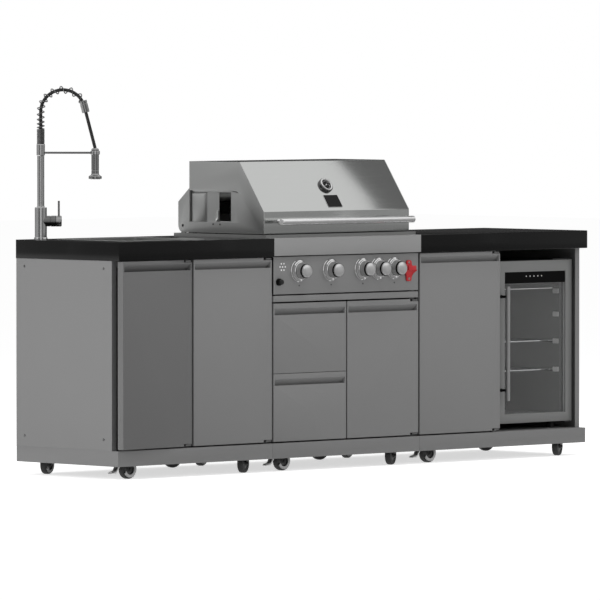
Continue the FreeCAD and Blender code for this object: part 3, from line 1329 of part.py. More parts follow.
def grate(name, place):
    """One cast grate with a row of slots."""
    body = new_body(name, place)
    slab = [("0", "0"), ("grate_wide", "0"), ("grate_wide", "grate_long"), ("0", "grate_long")]
    pad(body, outline(new_sketch(body, "XY"), slab), "grate_thick")
    pitch = "(grate_wide - grate_bar) / grate_slots"
    far = "grate_long - grate_bar"
    slot = [("grate_bar", "grate_bar"), (pitch, "grate_bar"), (pitch, far), ("grate_bar", far)]
    sketch = outline(new_sketch(body, "XY"), slot)
    hollow = pocket(body, sketch, "grate_thick", True)
    doc.recompute()
    row = body.newObject("PartDesign::LinearPattern", name + "Slots")
    row.Originals = [hollow]
    row.Direction = (sketch, ["H_Axis"])
    row.setExpression("Length", linked(f"(grate_slots - 1) * {pitch}"))
    row.setExpression("Occurrences", linked("grate_slots"))
    body.Tip = row
    return body


def warming_rack():
    """Bars between two end frames that stand on the grill's rim."""
    y = "front_y + rack_front"
    shapes = []
    bar = "rack_bar"
    top = f"ring_top + rack_high - {bar}"
    for name, x in (("Left", f"tub_x - {bar}"), ("Right", "tub_x + tub_wide")):
        shapes.append(block("RackEnd" + name, (x, y, top), (bar, "rack_deep", bar)))
        for i, out in enumerate(("0", f"rack_deep - {bar}")):
            shapes.append(block(f"RackLeg{name}{i}", (x, f"{y} + {out}", "ring_top"),
                                (bar, bar, f"rack_high - {bar}")))
    for i in range(int(size("rack_count"))):
        along = f"{y} + {i} * (rack_deep - {bar}) / (rack_count - 1)"
        shapes.append(block(f"RackBar{i}", ("tub_x", along, top), ("tub_wide", bar, bar)))
    return shapes


def cooking_grates():
    """Four grates, the flame tamers under them and the warming rack."""
    shapes = []
    for i in range(int(size("grate_count"))):
        x = f"tub_x + tub_steel + grate_gap + {i} * (grate_wide + grate_gap)"
        shapes.append(grate(f"Grate{i}", (x, "tub_y + tub_steel + grate_gap", "grate_z")))
    half = "tamer_half"
    steel = "tamer_steel"
    roof = [(f"-{half}", "0"), ("0", "tamer_rise"), (half, "0"), (f"{half} - 2 * {steel}", "0"),
            ("0", f"tamer_rise - 1.2 * {steel}"), (f"2 * {steel} - {half}", "0")]
    for i, x in enumerate(knob_places()[:-1]):
        place = (x, "tub_y + tub_steel + grate_gap", "grate_z - tamer_low")
        shapes.append(extruded(f"Tamer{i}", place, "XZ", roof, "grate_long"))
    return piece("cooking_grates", group("CookingGrates", *shapes, *warming_rack()))


# Hood

HOOD_SIDE = [("0", "0"), ("0", "hood_face"), ("hood_slope_run", "hood_tall"),
             ("hood_back - hood_front", "hood_tall"),
             ("hood_back - hood_front", "hood_bump + hood_bump_slope"),
             ("hood_rear - hood_front", "hood_bump")]


def hood_skin():
    """Bent sheet from the front lip over the top to the hinge line."""
    steel = "hood_steel"
    inside = "hood_width - 2 * hood_end"
    place = ("hood_x + hood_end", "hood_y", "hood_z")
    outer = HOOD_SIDE + [("hood_rear - hood_front", "hinge_round")]
    inner = [(f"hood_rear - hood_front - {steel}", "hinge_round"),
             (f"hood_rear - hood_front - {steel}", f"hood_bump - {steel} / 2"),
             (f"hood_back - hood_front - {steel}", f"hood_bump + hood_bump_slope - {steel}"),
             (f"hood_back - hood_front - {steel}", f"hood_tall - {steel}"),
             (f"hood_slope_run + {steel} / 2", f"hood_tall - {steel}"),
             (steel, f"hood_face - {steel} / 2"), (steel, "0")]
    skin = extruded("HoodSheet", place, "YZ", outer + inner, inside)
    tools = []
    for name, x in (("Left", "hood_x + hood_end"),
                    ("Right", "hood_x + hood_width - hood_end - 10")):
        tools.append(block("EarNotch" + name, (x, "front_y + hood_rear - 10", "hood_z"),
                           ("10", "20", "hinge_round + 20")))
    return cut("HoodSkin", skin, *tools)


def hood_side(name, x, inward):
    """Stamped end panel with a pocket, an end cover and the hinge bore."""
    body = new_body(name, (x, "hood_y", "hood_z"))
    round = "(hinge_round - 0.1)"
    turn = [(f"hood_rear - hood_front - hinge_round + {round} * cos({angle})",
             f"hinge_round - {round} * sin({angle})") for angle in (0, 30, 60, 90)]
    side = HOOD_SIDE + [("hood_rear - hood_front", "hinge_round")] + turn[1:]
    pad(body, outline(new_sketch(body, "YZ"), side), "hood_end", inward < 0)
    near = "pocket_front - hood_front"
    far = "pocket_back - hood_front"
    top = "pocket_low + pocket_tall"
    edge = "hood_end"
    cut_away = "pocket_cut"
    cup = [(f"{near} - {edge}", f"pocket_low - {edge}"), (f"{far} + {edge}", f"pocket_low - {edge}"),
           (f"{far} + {edge}", f"{top} + {edge} - {cut_away}"),
           (f"{far} + {edge} - {cut_away}", f"{top} + {edge}"),
           (f"{near} - {edge} + {cut_away}", f"{top} + {edge}"),
           (f"{near} - {edge}", f"{top} + {edge} - {cut_away}")]
    pad(body, outline(new_sketch(body, "YZ"), cup), "pocket_deep + hood_end", inward < 0)
    hollow = [(near, "pocket_low"), (far, "pocket_low"), (far, f"{top} - {cut_away}"),
              (f"{far} - {cut_away}", top), (f"{near} + {cut_away}", top),
              (near, f"{top} - {cut_away}")]
    pocket(body, outline(new_sketch(body, "YZ"), hollow), "pocket_deep", inward > 0)
    slot = [("spit_front - hood_front", "pocket_low + 4"), ("spit_back - hood_front", "pocket_low + 4"),
            ("spit_back - hood_front", f"{top} - 6"), ("spit_front - hood_front", f"{top} - 6")]
    pocket(body, outline(new_sketch(body, "YZ"), slot), "pocket_deep + hood_end + 1", inward > 0)
    bore = ("hood_rear - hood_front - hinge_round", "hinge_round", "hinge_pin + hinge_play")
    sketch = new_sketch(body, "YZ")
    hole = circle(sketch, *bore) if inward > 0 else outline(sketch, eight_sides(*bore))
    pocket(body, hole, "hood_end + 1", inward > 0)
    return body


def hood():
    """Skin, two end panels and their end covers."""
    left = hood_side("HoodLeft", "hood_x", 1)
    right = hood_side("HoodRight", "hood_x + hood_width", -1)
    covers = []
    for name, x, sign in (("Left", "hood_x + hood_end + pocket_deep", "-"),
                          ("Right", "hood_x + hood_width - hood_end - pocket_deep", "")):
        floor = f"{x} - hood_end" if sign else f"{x} + hood_end"
        bow = [("0", "0"), (f"{sign}pocket_deep * 0.5", "2"), (f"{sign}pocket_deep * 0.85", "17"),
               (f"{sign}pocket_deep * 0.95", "42"), (f"{sign}pocket_deep * 0.85", "66"),
               (f"{sign}pocket_deep * 0.5", "81"), ("0", "83")]
        covers.append(extruded("EndCover" + name, (floor, "front_y + stack_front",
                                                   "hood_z + pocket_low"), "XY", bow,
                               "pocket_tall - stack_short"))
    return piece("hood", group("Hood", hood_skin(), left, right, *covers))


def hood_handle():
    """Tube on two posts."""
    y = "hood_y - handle_out"
    z = "hood_z + handle_high"
    long = "hood_width - 2 * handle_inset"
    tube = rod("HandleTube", ("hood_x + handle_inset", y, z), "handle_radius", long, along="x")
    shapes = [tube]
    for name, text in (("Left", "post_inset"), ("Right", f"{long} - post_inset")):
        shapes.append(block("HandlePost" + name, (f"hood_x + handle_inset + {text} - post_radius", y,
                                                  f"{z} - post_radius"),
                            ("2 * post_radius", "handle_out", "2 * post_radius")))
    return piece("hood_handle", join("HoodHandle", *shapes))


def gauge():
    """Temperature gauge and the plain plate under it, laid on the hood's slope."""
    dial = prism("GaugeDial", ("0", "gauge_up", "0"), "gauge_radius", "gauge_deep", 24)
    plate = block("PlainPlate", ("-plate_wide / 2", "plate_up - plate_tall / 2", "0"),
                  ("plate_wide", "plate_tall", "plate_thick"))
    both = group("TemperatureGauge", dial, plate)
    spin(both, FreeCAD.Vector(1, 0, 0), "slope_angle")
    move(both, ("hood_x + hood_width / 2", "hood_y", "hood_z + hood_face"))
    return piece("temperature_gauge", both)


# Fridge

def fridge_cabinet():
    """Insulated body with a chamber, machine bay, control strip, shelf rests and feet."""
    wall = "fridge_wall"
    outer = block("FridgeBlock", ("fridge_x", "fridge_body_y", "fridge_z"),
                  ("fridge_width", "fridge_deep", "fridge_tall"))
    chamber = block("Chamber", (f"fridge_x + {wall}", "fridge_body_y - 1", f"fridge_z + {wall}"),
                    (f"fridge_width - 2 * {wall}", f"fridge_deep - {wall} + 1",
                     f"fridge_tall - 2 * {wall}"))
    shapes = [cut("FridgeShell", outer, chamber)]
    rear = "fridge_body_y + fridge_deep - 110 - fridge_wall / 2"
    shapes.append(block("MachineBay", (f"fridge_x + {wall} / 2", rear, f"fridge_z + {wall} / 2"),
                        (f"fridge_width - {wall}", "110", "fridge_machine")))
    shapes.append(block("ControlStrip", (f"fridge_x + {wall} / 2", "fridge_body_y",
                                         f"fridge_z + fridge_tall - {wall} - strip_tall"),
                        (f"fridge_width - {wall}", "strip_deep", f"strip_tall + {wall} / 2")))
    for i in range(int(size("shelf_count"))):
        z = f"fridge_z + {wall} + shelf_first + {i} * shelf_pitch - shelf_wire"
        for name, x in (("Left", f"fridge_x + {wall} - shelf_play"),
                        ("Right", f"fridge_x + fridge_width - {wall} - shelf_rest")):
            shapes.append(block(f"ShelfRest{name}{i}", (x, "fridge_body_y + shelf_front", z),
                                ("shelf_rest + shelf_play", "shelf_long", "shelf_wire")))
    for i in range(4):
        x = f"fridge_x + 40 + {i % 2} * (fridge_width - 80)"
        y = f"fridge_body_y + 40 + {i // 2} * (fridge_deep - 80)"
        shapes.append(prism(f"FridgeFoot{i}", (x, y, "plinth_top"), "foot_radius", "fridge_low + 1",
                            8))
    body = join("FridgeCabinet", *shapes)
    plates = []
    pivot_x = "fridge_x + fridge_width - fridge_pivot_in"
    pivot_y = "fridge_y + fridge_pivot_back"
    reach = "fridge_body_y + 40 - fridge_y"
    upper = block("UpperHinge", ("fridge_x + fridge_width - hinge_plate_wide", "fridge_y",
                                 "fridge_z + fridge_tall"), ("hinge_plate_wide", reach, "hinge_plate"))
    lower = block("LowerHinge", ("fridge_x + fridge_width - 40", "fridge_y",
                                 "fridge_z - hinge_plate"), ("36", reach, "hinge_plate"))
    depth = "fridge_door_play + 12"
    plates.append(join("UpperHingePlate", upper,
                       prism("UpperPin", (pivot_x, pivot_y, f"fridge_z + fridge_tall - ({depth})"),
                             "fridge_pivot_radius", f"{depth} + 1", 6)))
    plates.append(join("LowerHingePlate", lower,
                       prism("LowerPin", (pivot_x, pivot_y, "fridge_z - 1"), "fridge_pivot_radius",
                             f"{depth} + 1", 6)))
    return piece("fridge_cabinet", group("FridgeParts", body, *plates))


def fridge_shelves():
    """Wire shelves on the chamber's rests."""
    shelves = []
    wire = "shelf_wire"
    wide = "fridge_width - 2 * fridge_wall - 2 * shelf_play"
    for i in range(int(size("shelf_count"))):
        z = f"fridge_z + fridge_wall + shelf_first + {i} * shelf_pitch"
        x = "fridge_x + fridge_wall + shelf_play"
        front = "fridge_body_y + shelf_front"
        shapes = []
        for j, y in enumerate((front, f"{front} + shelf_long - {wire}")):
            shapes.append(block(f"ShelfRail{i}{j}", (x, y, z), (wide, wire, wire)))
        for j in range(int(size("shelf_bars"))):
            across = f"{x} + {j} * ({wide} - {wire}) / (shelf_bars - 1)"
            shapes.append(block(f"ShelfBar{i}{j}", (across, front, z), (wire, "shelf_long", wire)))
        shelves.append(join(f"Shelf{i}", *shapes))
    return piece("fridge_shelves", group("FridgeShelves", *shelves))


def fridge_door():
    """Framed door with a rabbet for its pane and a tube handle; origin on the hinge axis."""
    place = ("fridge_x + fridge_width - fridge_pivot_in", "fridge_y + fridge_pivot_back",
             "fridge_z + fridge_door_play")
    body = new_body("FridgeFrame", place)
    left = "fridge_pivot_in - fridge_width"
    right = "fridge_pivot_in"
    front = "-1 * fridge_pivot_back"
    tall = "fridge_tall - 2 * fridge_door_play"
    back = "fridge_door_thick - fridge_pivot_back"
    slab = [(left, front), (right, front), (right, back), (left, back)]
    pad(body, outline(new_sketch(body, "XY"), slab), tall)
    sides = (f"{left} + stile_wide", f"{right} - stile_wide")
    levels = ("sill_tall", f"{tall} - head_tall")
    pane = [(x, z) for x, z in zip((sides[0], sides[1], sides[1], sides[0]),
                                   (levels[0], levels[0], levels[1], levels[1]))]
    pocket(body, outline(new_sketch(body, "XZ", f"fridge_pivot_back + 1"), pane),
           "fridge_door_thick + 2")
    wide = [(f"{sides[0]} - 8", f"{levels[0]} - 8"), (f"{sides[1]} + 8", f"{levels[0]} - 8"),
            (f"{sides[1]} + 8", f"{levels[1]} + 8"), (f"{sides[0]} - 8", f"{levels[1]} + 8")]
    pocket(body, outline(new_sketch(body, "XZ", "fridge_pivot_back - 10"), wide),
           "fridge_door_thick")
    bore = "fridge_pivot_radius + pivot_play"
    pocket(body, outline(new_sketch(body, "XY"), eight_sides("0", "0", bore)), "13", True)
    pocket(body, circle(new_sketch(body, "XY", tall), "0", "0", bore), "13")
    x = "fridge_x + fridge_handle_in"
    y = "fridge_y - fridge_handle_out"
    low = "fridge_z + fridge_handle_low"
    shapes = [body, rod("FridgeTube", (x, y, low), "fridge_handle_radius", "fridge_handle_long")]
    for name, text in (("Low", "fridge_post_in"), ("High", "fridge_handle_long - fridge_post_in")):
        shapes.append(block("FridgePost" + name, (f"{x} - fridge_post_radius", y,
                                                  f"{low} + {text} - fridge_post_radius"),
                            ("2 * fridge_post_radius", "fridge_handle_out + 1",
                             "2 * fridge_post_radius")))
    return piece("fridge_door", join("FridgeDoor", *shapes))


def fridge_glass():
    """Pane behind the frame's inner lip."""
    x = "fridge_x + stile_wide - 7.7"
    z = "fridge_z + fridge_door_play + sill_tall - 7.7"
    lengths = ("fridge_width - 2 * stile_wide + 15.4", "glass_thick",
               "fridge_tall - 2 * fridge_door_play - sill_tall - head_tall + 15.4")
    return piece("fridge_glass", block("FridgeGlass", (x, "fridge_y + 10", z), lengths))


# Hinge brackets, runners and screws

def bracket(name, right, z, up):
    """Bracket on the cabinet's front edge with a hinge pin for a door."""
    x = f"{right} - pivot_inset"
    plate = block(name + "Plate", (f"{right} - bracket_wide", "pivot_y - 10", z),
                  ("bracket_wide", "10 + door_thick / 2 + door_back_gap", "bracket_thick"))
    long = "bracket_thick + bracket_gap + pivot_long"
    start = z if up else f"{z} + bracket_thick - ({long})"
    return join(name, plate, prism(name + "Pin", (x, "pivot_y", start), "pivot_radius", long, 6))


def fixings():
    """Door brackets, drawer runners, tray rails and panel screws."""
    shapes = []
    rows = (("door_1_x + door_1_width", "counter_under - door_top_gap"),
            ("door_2_x + door_2_width", "counter_under - door_top_gap"),
            ("door_3_x + door_3_width", "grill_fronts_top"),
            ("door_4_x + door_4_width", "counter_under - door_top_gap"))
    for i, (right, top) in enumerate(rows, 1):
        low = "door_low + notch_tall - bracket_gap - bracket_thick"
        shapes.append(bracket(f"LowBracket{i}", right, low, True))
        shapes.append(bracket(f"HighBracket{i}", right, f"{top} - notch_tall + bracket_gap", False))
    wall = "grill_x + seam / 2 + sheet"
    side = "drawer_x + drawer_side_gap"
    other = "drawer_x + drawer_width - drawer_side_gap"
    far = "door_3_x - drawer_door_gap / 2"
    start = "carcass_y + 3"
    for i, low in enumerate(("door_low", "upper_drawer_z")):
        z = f"{low} + drawer_box_low - slide_play - 2"
        for name, x, lap in (("Left", wall, f"{side} + 10 - ({wall})"),
                             ("Right", f"{other} - 10", f"{far} - ({other}) + 10")):
            upright = x if name == "Left" else f"{x} + {lap} - 2"
            shapes += [block(f"Runner{name}{i}", (x, start, z), (lap, "drawer_deep - 10", "2")),
                       block(f"RunnerWall{name}{i}", (upright, start, f"{z} + 2"),
                             ("2", "drawer_deep - 10", "runner_tall - 2"))]
    z = "tray_front_z + tray_low - slide_play - tray_rail"
    reach = f"drawer_x + tray_side + tray_rail_lap - ({wall})"
    shapes.append(block("TrayRailLeft", (wall, start, z), (reach, "tray_deep - 10", "tray_rail")))
    end = "right_x - seam / 2 - sheet"
    inner = "drawer_x + grill_fronts_wide - tray_side - tray_rail_lap"
    shapes.append(block("TrayRailRight", (inner, start, z),
                        (f"{end} - ({inner})", "tray_deep - 10", "tray_rail")))
    panel = "left_x + seam / 2"
    for i in range(4):
        y = ("carcass_y + screw_inset", "back_y - screw_inset")[i % 2]
        z = ("plinth_top + screw_low", "counter_under - screw_high")[i // 2]
        shapes.append(prism(f"PanelScrew{i}", (f"{panel} - screw_rise", y, z), "screw_head / 2",
                            "screw_rise", 6, along="x"))
    return piece("fixings", group("Fixings", *shapes))


base_plinth()
casters()
cabinet_shells()
countertops()
sink()
tap_body()
tap_lever()
tap_column()
tap_hose()
tap_spring()
spray_head()
doors()
drawer("lower_drawer", "door_low", "lower_drawer_tall")
drawer("upper_drawer", "upper_drawer_z", "upper_drawer_tall")
drip_tray()
control_panel()
for index, across in enumerate(knob_places(), 1):
    knob(index, across)
igniter_button()
bottle_opener()
firebox()
gas_burners()
cooking_grates()
hood()
hood_handle()
gauge()
fridge_cabinet()
fridge_shelves()
fridge_door()
fridge_glass()
fixings()
doc.recompute()

for obj in doc.Objects:
    if {"Invalid", "Error"} & set(obj.State):
        raise ValueError(f"{obj.Name} ({obj.Label}) did not compute: {obj.State}")
os.makedirs("parts", exist_ok=True)
for obj in parts:
    shape = obj.Shape
    if shape.isNull() or not shape.isValid() or not shape.Solids:
        raise ValueError(f"{obj.Label} has a bad shape")
    shape.exportStep(f"parts/{obj.Label}.step")
    box = shape.BoundBox
    print(f"{obj.Label}: {len(shape.Solids)} solids, {shape.Volume:.0f} mm3, "
          f"x {box.XMin:.1f}..{box.XMax:.1f} y {box.YMin:.1f}..{box.YMax:.1f} "
          f"z {box.ZMin:.1f}..{box.ZMax:.1f}")
print(f"{len(parts)} sub-parts")
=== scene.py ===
import bpy
import bmesh
import math
from mathutils import Matrix, Vector


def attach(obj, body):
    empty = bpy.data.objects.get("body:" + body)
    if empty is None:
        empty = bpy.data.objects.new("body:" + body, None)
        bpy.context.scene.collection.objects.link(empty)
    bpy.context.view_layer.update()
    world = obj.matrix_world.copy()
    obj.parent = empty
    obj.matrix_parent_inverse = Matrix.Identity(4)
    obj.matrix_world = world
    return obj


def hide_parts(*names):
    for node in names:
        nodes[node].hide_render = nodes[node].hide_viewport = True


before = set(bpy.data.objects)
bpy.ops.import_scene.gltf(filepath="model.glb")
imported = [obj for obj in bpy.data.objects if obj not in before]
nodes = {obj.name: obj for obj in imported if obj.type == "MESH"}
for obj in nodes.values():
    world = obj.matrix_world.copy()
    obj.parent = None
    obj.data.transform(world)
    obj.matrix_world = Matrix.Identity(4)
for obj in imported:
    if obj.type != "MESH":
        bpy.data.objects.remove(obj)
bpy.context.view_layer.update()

scene = bpy.context.scene
scene.view_settings.view_transform = "Standard"

# Camera: a long lens at a little under two metres, far off the island's front left corner,
# so the front and the left end show in nearly equal shares.
camera_data = bpy.data.cameras.new("Camera")
camera_data.sensor_width = 36
camera_data.lens = 467.37
camera_data.clip_end = 100
camera = bpy.data.objects.new("Camera", camera_data)
camera.location = (-21.3598, -21.7577, 1.6997)
look_down, look_right = 1.979, 44.381
camera.rotation_euler = (math.radians(90 - look_down), 0, math.radians(-look_right))
scene.collection.objects.link(camera)
scene.camera = camera

# Studio: a white floor and a white surround that camera and mirror rays see, soft panels that
# light the object, and grey cards in which the metal finds its darker stripes: a ring far out,
# one card over the hood's slope and one low before the front.
def tree(material):
    """Empty node tree of a material, with its output."""
    material.use_nodes = True
    material.node_tree.nodes.clear()
    return material.node_tree, material.node_tree.nodes.new("ShaderNodeOutputMaterial")


def node(nodes_of, kind, **values):
    """Shader node with some of its sockets set."""
    made = nodes_of.nodes.new(kind)
    for socket, value in values.items():
        made.inputs[socket.replace("_", " ")].default_value = value
    return made


def wired(nodes_of, kind, *fed, operation=None):
    """Output of a new node whose sockets are fed in order, by numbers or by other outputs."""
    made = nodes_of.nodes.new(kind)
    if operation:
        made.operation = operation
    for socket, value in zip(made.inputs, fed):
        if isinstance(value, bpy.types.NodeSocket):
            nodes_of.links.new(value, socket)
        else:
            socket.default_value = value
    return made.outputs[0]


def calc(nodes_of, operation, *fed):
    """Output of a math node."""
    return wired(nodes_of, "ShaderNodeMath", *fed, operation=operation)


world = bpy.data.worlds.new("Surround")
scene.world = world
world.use_nodes = True
w = world.node_tree
w.nodes.clear()
surround = node(w, "ShaderNodeBackground", Color=(1, 1, 1, 1), Strength=1.0).outputs[0]
fill = node(w, "ShaderNodeBackground", Color=(1, 1, 1, 1), Strength=0.42).outputs[0]
rays = w.nodes.new("ShaderNodeLightPath").outputs
seen = calc(w, "MAXIMUM", rays["Is Camera Ray"], rays["Is Glossy Ray"])
seen = calc(w, "MAXIMUM", seen, rays["Is Transmission Ray"])
choice = wired(w, "ShaderNodeMixShader", seen, fill, surround)
w.links.new(choice, w.nodes.new("ShaderNodeOutputWorld").inputs[0])

bpy.ops.mesh.primitive_plane_add(size=60, location=(0, 0, 0))
floor = bpy.context.object
floor.name = "floor"
floor_paint = bpy.data.materials.new("white_floor")
t, out = tree(floor_paint)
paint = node(t, "ShaderNodeBsdfDiffuse", Color=(0.86, 0.86, 0.86, 1)).outputs[0]
glow = node(t, "ShaderNodeEmission", Color=(1, 1, 1, 1), Strength=0.62).outputs[0]
rays = t.nodes.new("ShaderNodeLightPath").outputs
seen = calc(t, "MAXIMUM", rays["Is Camera Ray"], rays["Is Glossy Ray"])
lift = wired(t, "ShaderNodeMixShader", seen, paint, wired(t, "ShaderNodeAddShader", paint, glow))
t.links.new(lift, out.inputs[0])
floor.data.materials.append(floor_paint)

for name, place, size, watts, aim in (
        ("overhead", (0.3, -0.6, 4.2), (4.5, 2.6), 90, (0, 0, 0.9)),
        ("left", (-4.6, 0.1, 1.7), (2.4, 2.6), 84, (-1.2, 0, 0.6)),
        ("front", (1.9, -5.2, 2.0), (3.4, 2.4), 80, (0.2, 0, 0.6))):
    lamp = bpy.data.lights.new(name, "AREA")
    lamp.shape = "RECTANGLE"
    lamp.size, lamp.size_y = size
    lamp.energy = watts
    panel = bpy.data.objects.new(name, lamp)
    panel.location = place
    panel.rotation_euler = (Vector(aim) - Vector(place)).to_track_quat("-Z", "Y").to_euler()
    panel.visible_glossy = False
    scene.collection.objects.link(panel)


def grey_card(card, level):
    """Make a plane a grey card that only mirror rays see."""
    card_grey = bpy.data.materials.new(card.name + "_grey")
    t, out = tree(card_grey)
    shine = node(t, "ShaderNodeEmission", Color=(level, level, level, 1), Strength=1.0)
    t.links.new(shine.outputs[0], out.inputs[0])
    card.data.materials.append(card_grey)
    card.visible_camera = card.visible_diffuse = card.visible_shadow = False
    card.visible_transmission = False


far_out = 8
for name, heading, spread, level, top in (
        ("rear", 47, 96, 0.05, 5.2), ("rear_left", 118, 44, 0.42, 4.2),
        ("left", 157, 32, 0.46, 4.2), ("near_left", 193, 38, 0.2, 7.5),
        ("stripe", 224, 16, 0.8, 7.5), ("near_right", 250, 36, 0.24, 7.5),
        ("front", 292, 46, 0.4, 4.6), ("right", 337, 42, 0.42, 3.4)):
    around = math.radians(heading)
    bpy.ops.mesh.primitive_plane_add(
        size=1, location=(far_out * math.cos(around), far_out * math.sin(around), top / 2),
        rotation=(math.pi / 2, 0, around - math.pi / 2))
    card = bpy.context.object
    card.name = name + "_card"
    card.scale = (2 * far_out * math.tan(math.radians(spread / 2)), top, 1)
    bpy.ops.object.transform_apply(location=True, rotation=True, scale=True)
    grey_card(card, level)

slope_middle, slope_rake = Vector((0.68, -0.13, 1.09)), Vector((0, 0.577, 0.816))
mirrored = Vector((0.70, -0.27, 0.66)).normalized()
card_side = slope_rake.cross(mirrored).normalized()
card_away, card_shift = mirrored * 1.3, card_side * 0.35
facing = Matrix((card_side, mirrored.cross(card_side), mirrored)).transposed().to_4x4()
for name, level, place, size in (
        ("slope_card", 0.2,
         Matrix.Translation(slope_middle + card_away + card_shift) @ facing, (1.0, 2.0)),
        ("low_card", 0.3, Matrix.Translation((1.5, -4.68, 0.004)), (15, 8.66))):
    bpy.ops.mesh.primitive_plane_add(size=1)
    card = bpy.context.object
    card.name = name
    card.data.transform(place @ Matrix.Diagonal((*size, 1, 1)))
    grey_card(card, level)

# Cabinets: folded steel panels with a satin grey powder coat, screwed together in three
# modules. The coat has a faint orange-peel and drifts a little in tone.
def tone(level, red=1.0, green=1.0, blue=1.0):
    """Linear colour of a grey level as a screen shows it, with a slight tint."""
    value = (level / 255) ** 2.2
    return (value * red, value * green, value * blue, 1)


def streaked(group, stretch, detail):
    """Noise on object coordinates that are stretched by a vector."""
    where = group.nodes.new("ShaderNodeTexCoord").outputs["Object"]
    noise = node(group, "ShaderNodeTexNoise", Scale=1.0, Detail=detail)
    group.links.new(wired(group, "ShaderNodeVectorMath", where, stretch, operation="MULTIPLY"),
        noise.inputs["Vector"])
    return noise.outputs["Fac"]


finish_group = g = bpy.data.node_groups.new("SheetFinish", "ShaderNodeTree")
scalar, vector, color = "NodeSocketFloat", "NodeSocketVector", "NodeSocketColor"
for label, kind, value in (
        ("Color", color, (0.5, 0.5, 0.5, 1)), ("Drift", scalar, 0.05),
        ("Drift Scale", vector, (2, 2, 2)), ("Roughness", scalar, 0.4),
        ("Rough Swing", scalar, 0.08), ("Grain Scale", vector, (900, 900, 900)),
        ("Grain Tone", scalar, 0.02), ("Grain Bump", scalar, 0.1)):
    g.interface.new_socket(label, in_out="INPUT", socket_type=kind).default_value = value
for label, kind in (("Color", color), ("Roughness", scalar), ("Normal", vector)):
    g.interface.new_socket(label, in_out="OUTPUT", socket_type=kind)
given = g.nodes.new("NodeGroupInput").outputs
result = g.nodes.new("NodeGroupOutput").inputs
broad = streaked(g, given["Drift Scale"], 3)
fine = streaked(g, given["Grain Scale"], 2)
swings = [calc(g, "MULTIPLY", calc(g, "SUBTRACT", noise, 0.5), given[amount])
          for noise, amount in ((broad, "Drift"), (fine, "Grain Tone"))]
rough = calc(g, "MULTIPLY_ADD", calc(g, "SUBTRACT", fine, 0.5), given["Rough Swing"],
             given["Roughness"])
tinted = g.nodes.new("ShaderNodeVectorMath")
tinted.operation = "SCALE"
bump = node(g, "ShaderNodeBump", Distance=0.0004)
for start, end in (
        (given["Color"], tinted.inputs[0]),
        (calc(g, "ADD", calc(g, "ADD", *swings), 1), tinted.inputs["Scale"]),
        (tinted.outputs[0], result["Color"]), (rough, result["Roughness"]),
        (fine, bump.inputs["Height"]), (given["Grain Bump"], bump.inputs["Strength"]),
        (bump.outputs[0], result["Normal"])):
    g.links.new(start, end)


def finish(name, color, metal=0.0, **values):
    """Material of one surface finish; values go to the finish group by input name."""
    made = bpy.data.materials.new(name)
    t, out = tree(made)
    shader = t.nodes.new("ShaderNodeBsdfPrincipled")
    shader.inputs["Metallic"].default_value = metal
    look = t.nodes.new("ShaderNodeGroup")
    look.node_tree = finish_group
    look.inputs["Color"].default_value = color
    for label, value in values.items():
        label = label.replace("_", " ")
        (look if label in look.inputs else shader).inputs[label].default_value = value
    for label, socket in look.outputs.items():
        t.links.new(socket, shader.inputs["Base Color" if label == "Color" else label])
    t.links.new(shader.outputs[0], out.inputs[0])
    return made


def dress(made, *names):
    """Give CAD nodes a material."""
    for name in names:
        nodes[name].data.materials.clear()
        nodes[name].data.materials.append(made)


grey_coat = finish("grey_powder_coat", tone(118), Roughness=0.5, Drift=0.05, Grain_Bump=0.12)
dress(grey_coat, "base_plinth", "cabinet_shells", "door_1", "door_2", "door_3", "door_4",
      "lower_drawer", "upper_drawer", "drip_tray", "control_panel")
zinc = finish("zinc_plate", tone(150), metal=1.0, Roughness=0.42, Drift=0.12,
              Drift_Scale=(60, 60, 60))
dress(zinc, "fixings")

# Doors and drawer fronts: folded grey fronts 28 mm thick with a flush upper lip over a sloping
# finger trough with closed ends. Doors are notched at the right corners for their brackets, and
# the first stands a little open, with painted shade in its coat: it is darker than the other
# fronts though the real coat is one colour.
def at(x, y, z):
    """Metres from millimetres along the plinth, behind its face and off the floor."""
    return Vector(((x - 1282) / 1000, (y - 257.5) / 1000, z / 1000))


def only(piece):
    """Select one piece and nothing else."""
    bpy.ops.object.select_all(action="DESELECT")
    piece.select_set(True)
    bpy.context.view_layer.objects.active = piece


def settle(piece, name):
    """Put the piece's place, turn and scale into its mesh."""
    only(piece)
    bpy.ops.object.transform_apply(location=True, rotation=True, scale=True)
    piece.name = name
    return piece


def block(name, low, high, edge=0.0, steps=2):
    """Block between two corners, with eased edges if asked."""
    bpy.ops.object.select_all(action="DESELECT")
    bpy.ops.mesh.primitive_cube_add(size=1, location=(low + high) / 2)
    piece = bpy.context.object
    piece.scale = high - low
    settle(piece, name)
    return ease(piece, edge, steps) if edge else piece


def ease(piece, width, steps=2, sharp=30):
    """Round every edge sharper than an angle."""
    only(piece)
    bevel = piece.modifiers.new("edge", "BEVEL")
    bevel.width = width
    bevel.segments = steps
    bevel.limit_method = "ANGLE"
    bevel.angle_limit = math.radians(sharp)
    bpy.ops.object.modifier_apply(modifier="edge")
    return piece


def combine(piece, kind, *others):
    """Cut other solids out of a piece, or fuse them with it."""
    for other in others:
        only(piece)
        mix = piece.modifiers.new("mix", "BOOLEAN")
        mix.operation = kind
        mix.object = other
        bpy.ops.object.modifier_apply(modifier="mix")
        bpy.data.objects.remove(other)
    return piece


def smooth(piece, angle=32):
    """Smooth shading up to an angle."""
    only(piece)
    bpy.ops.object.shade_smooth_by_angle(angle=math.radians(angle))
    return piece


def fit(piece, made, body, *replaced, slot=None):
    """Give a piece its material, its body and the CAD nodes that it stands for."""
    piece.data.materials.clear()
    piece.data.materials.append(made)
    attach(piece, body)
    if replaced:
        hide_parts(*replaced)
    return piece


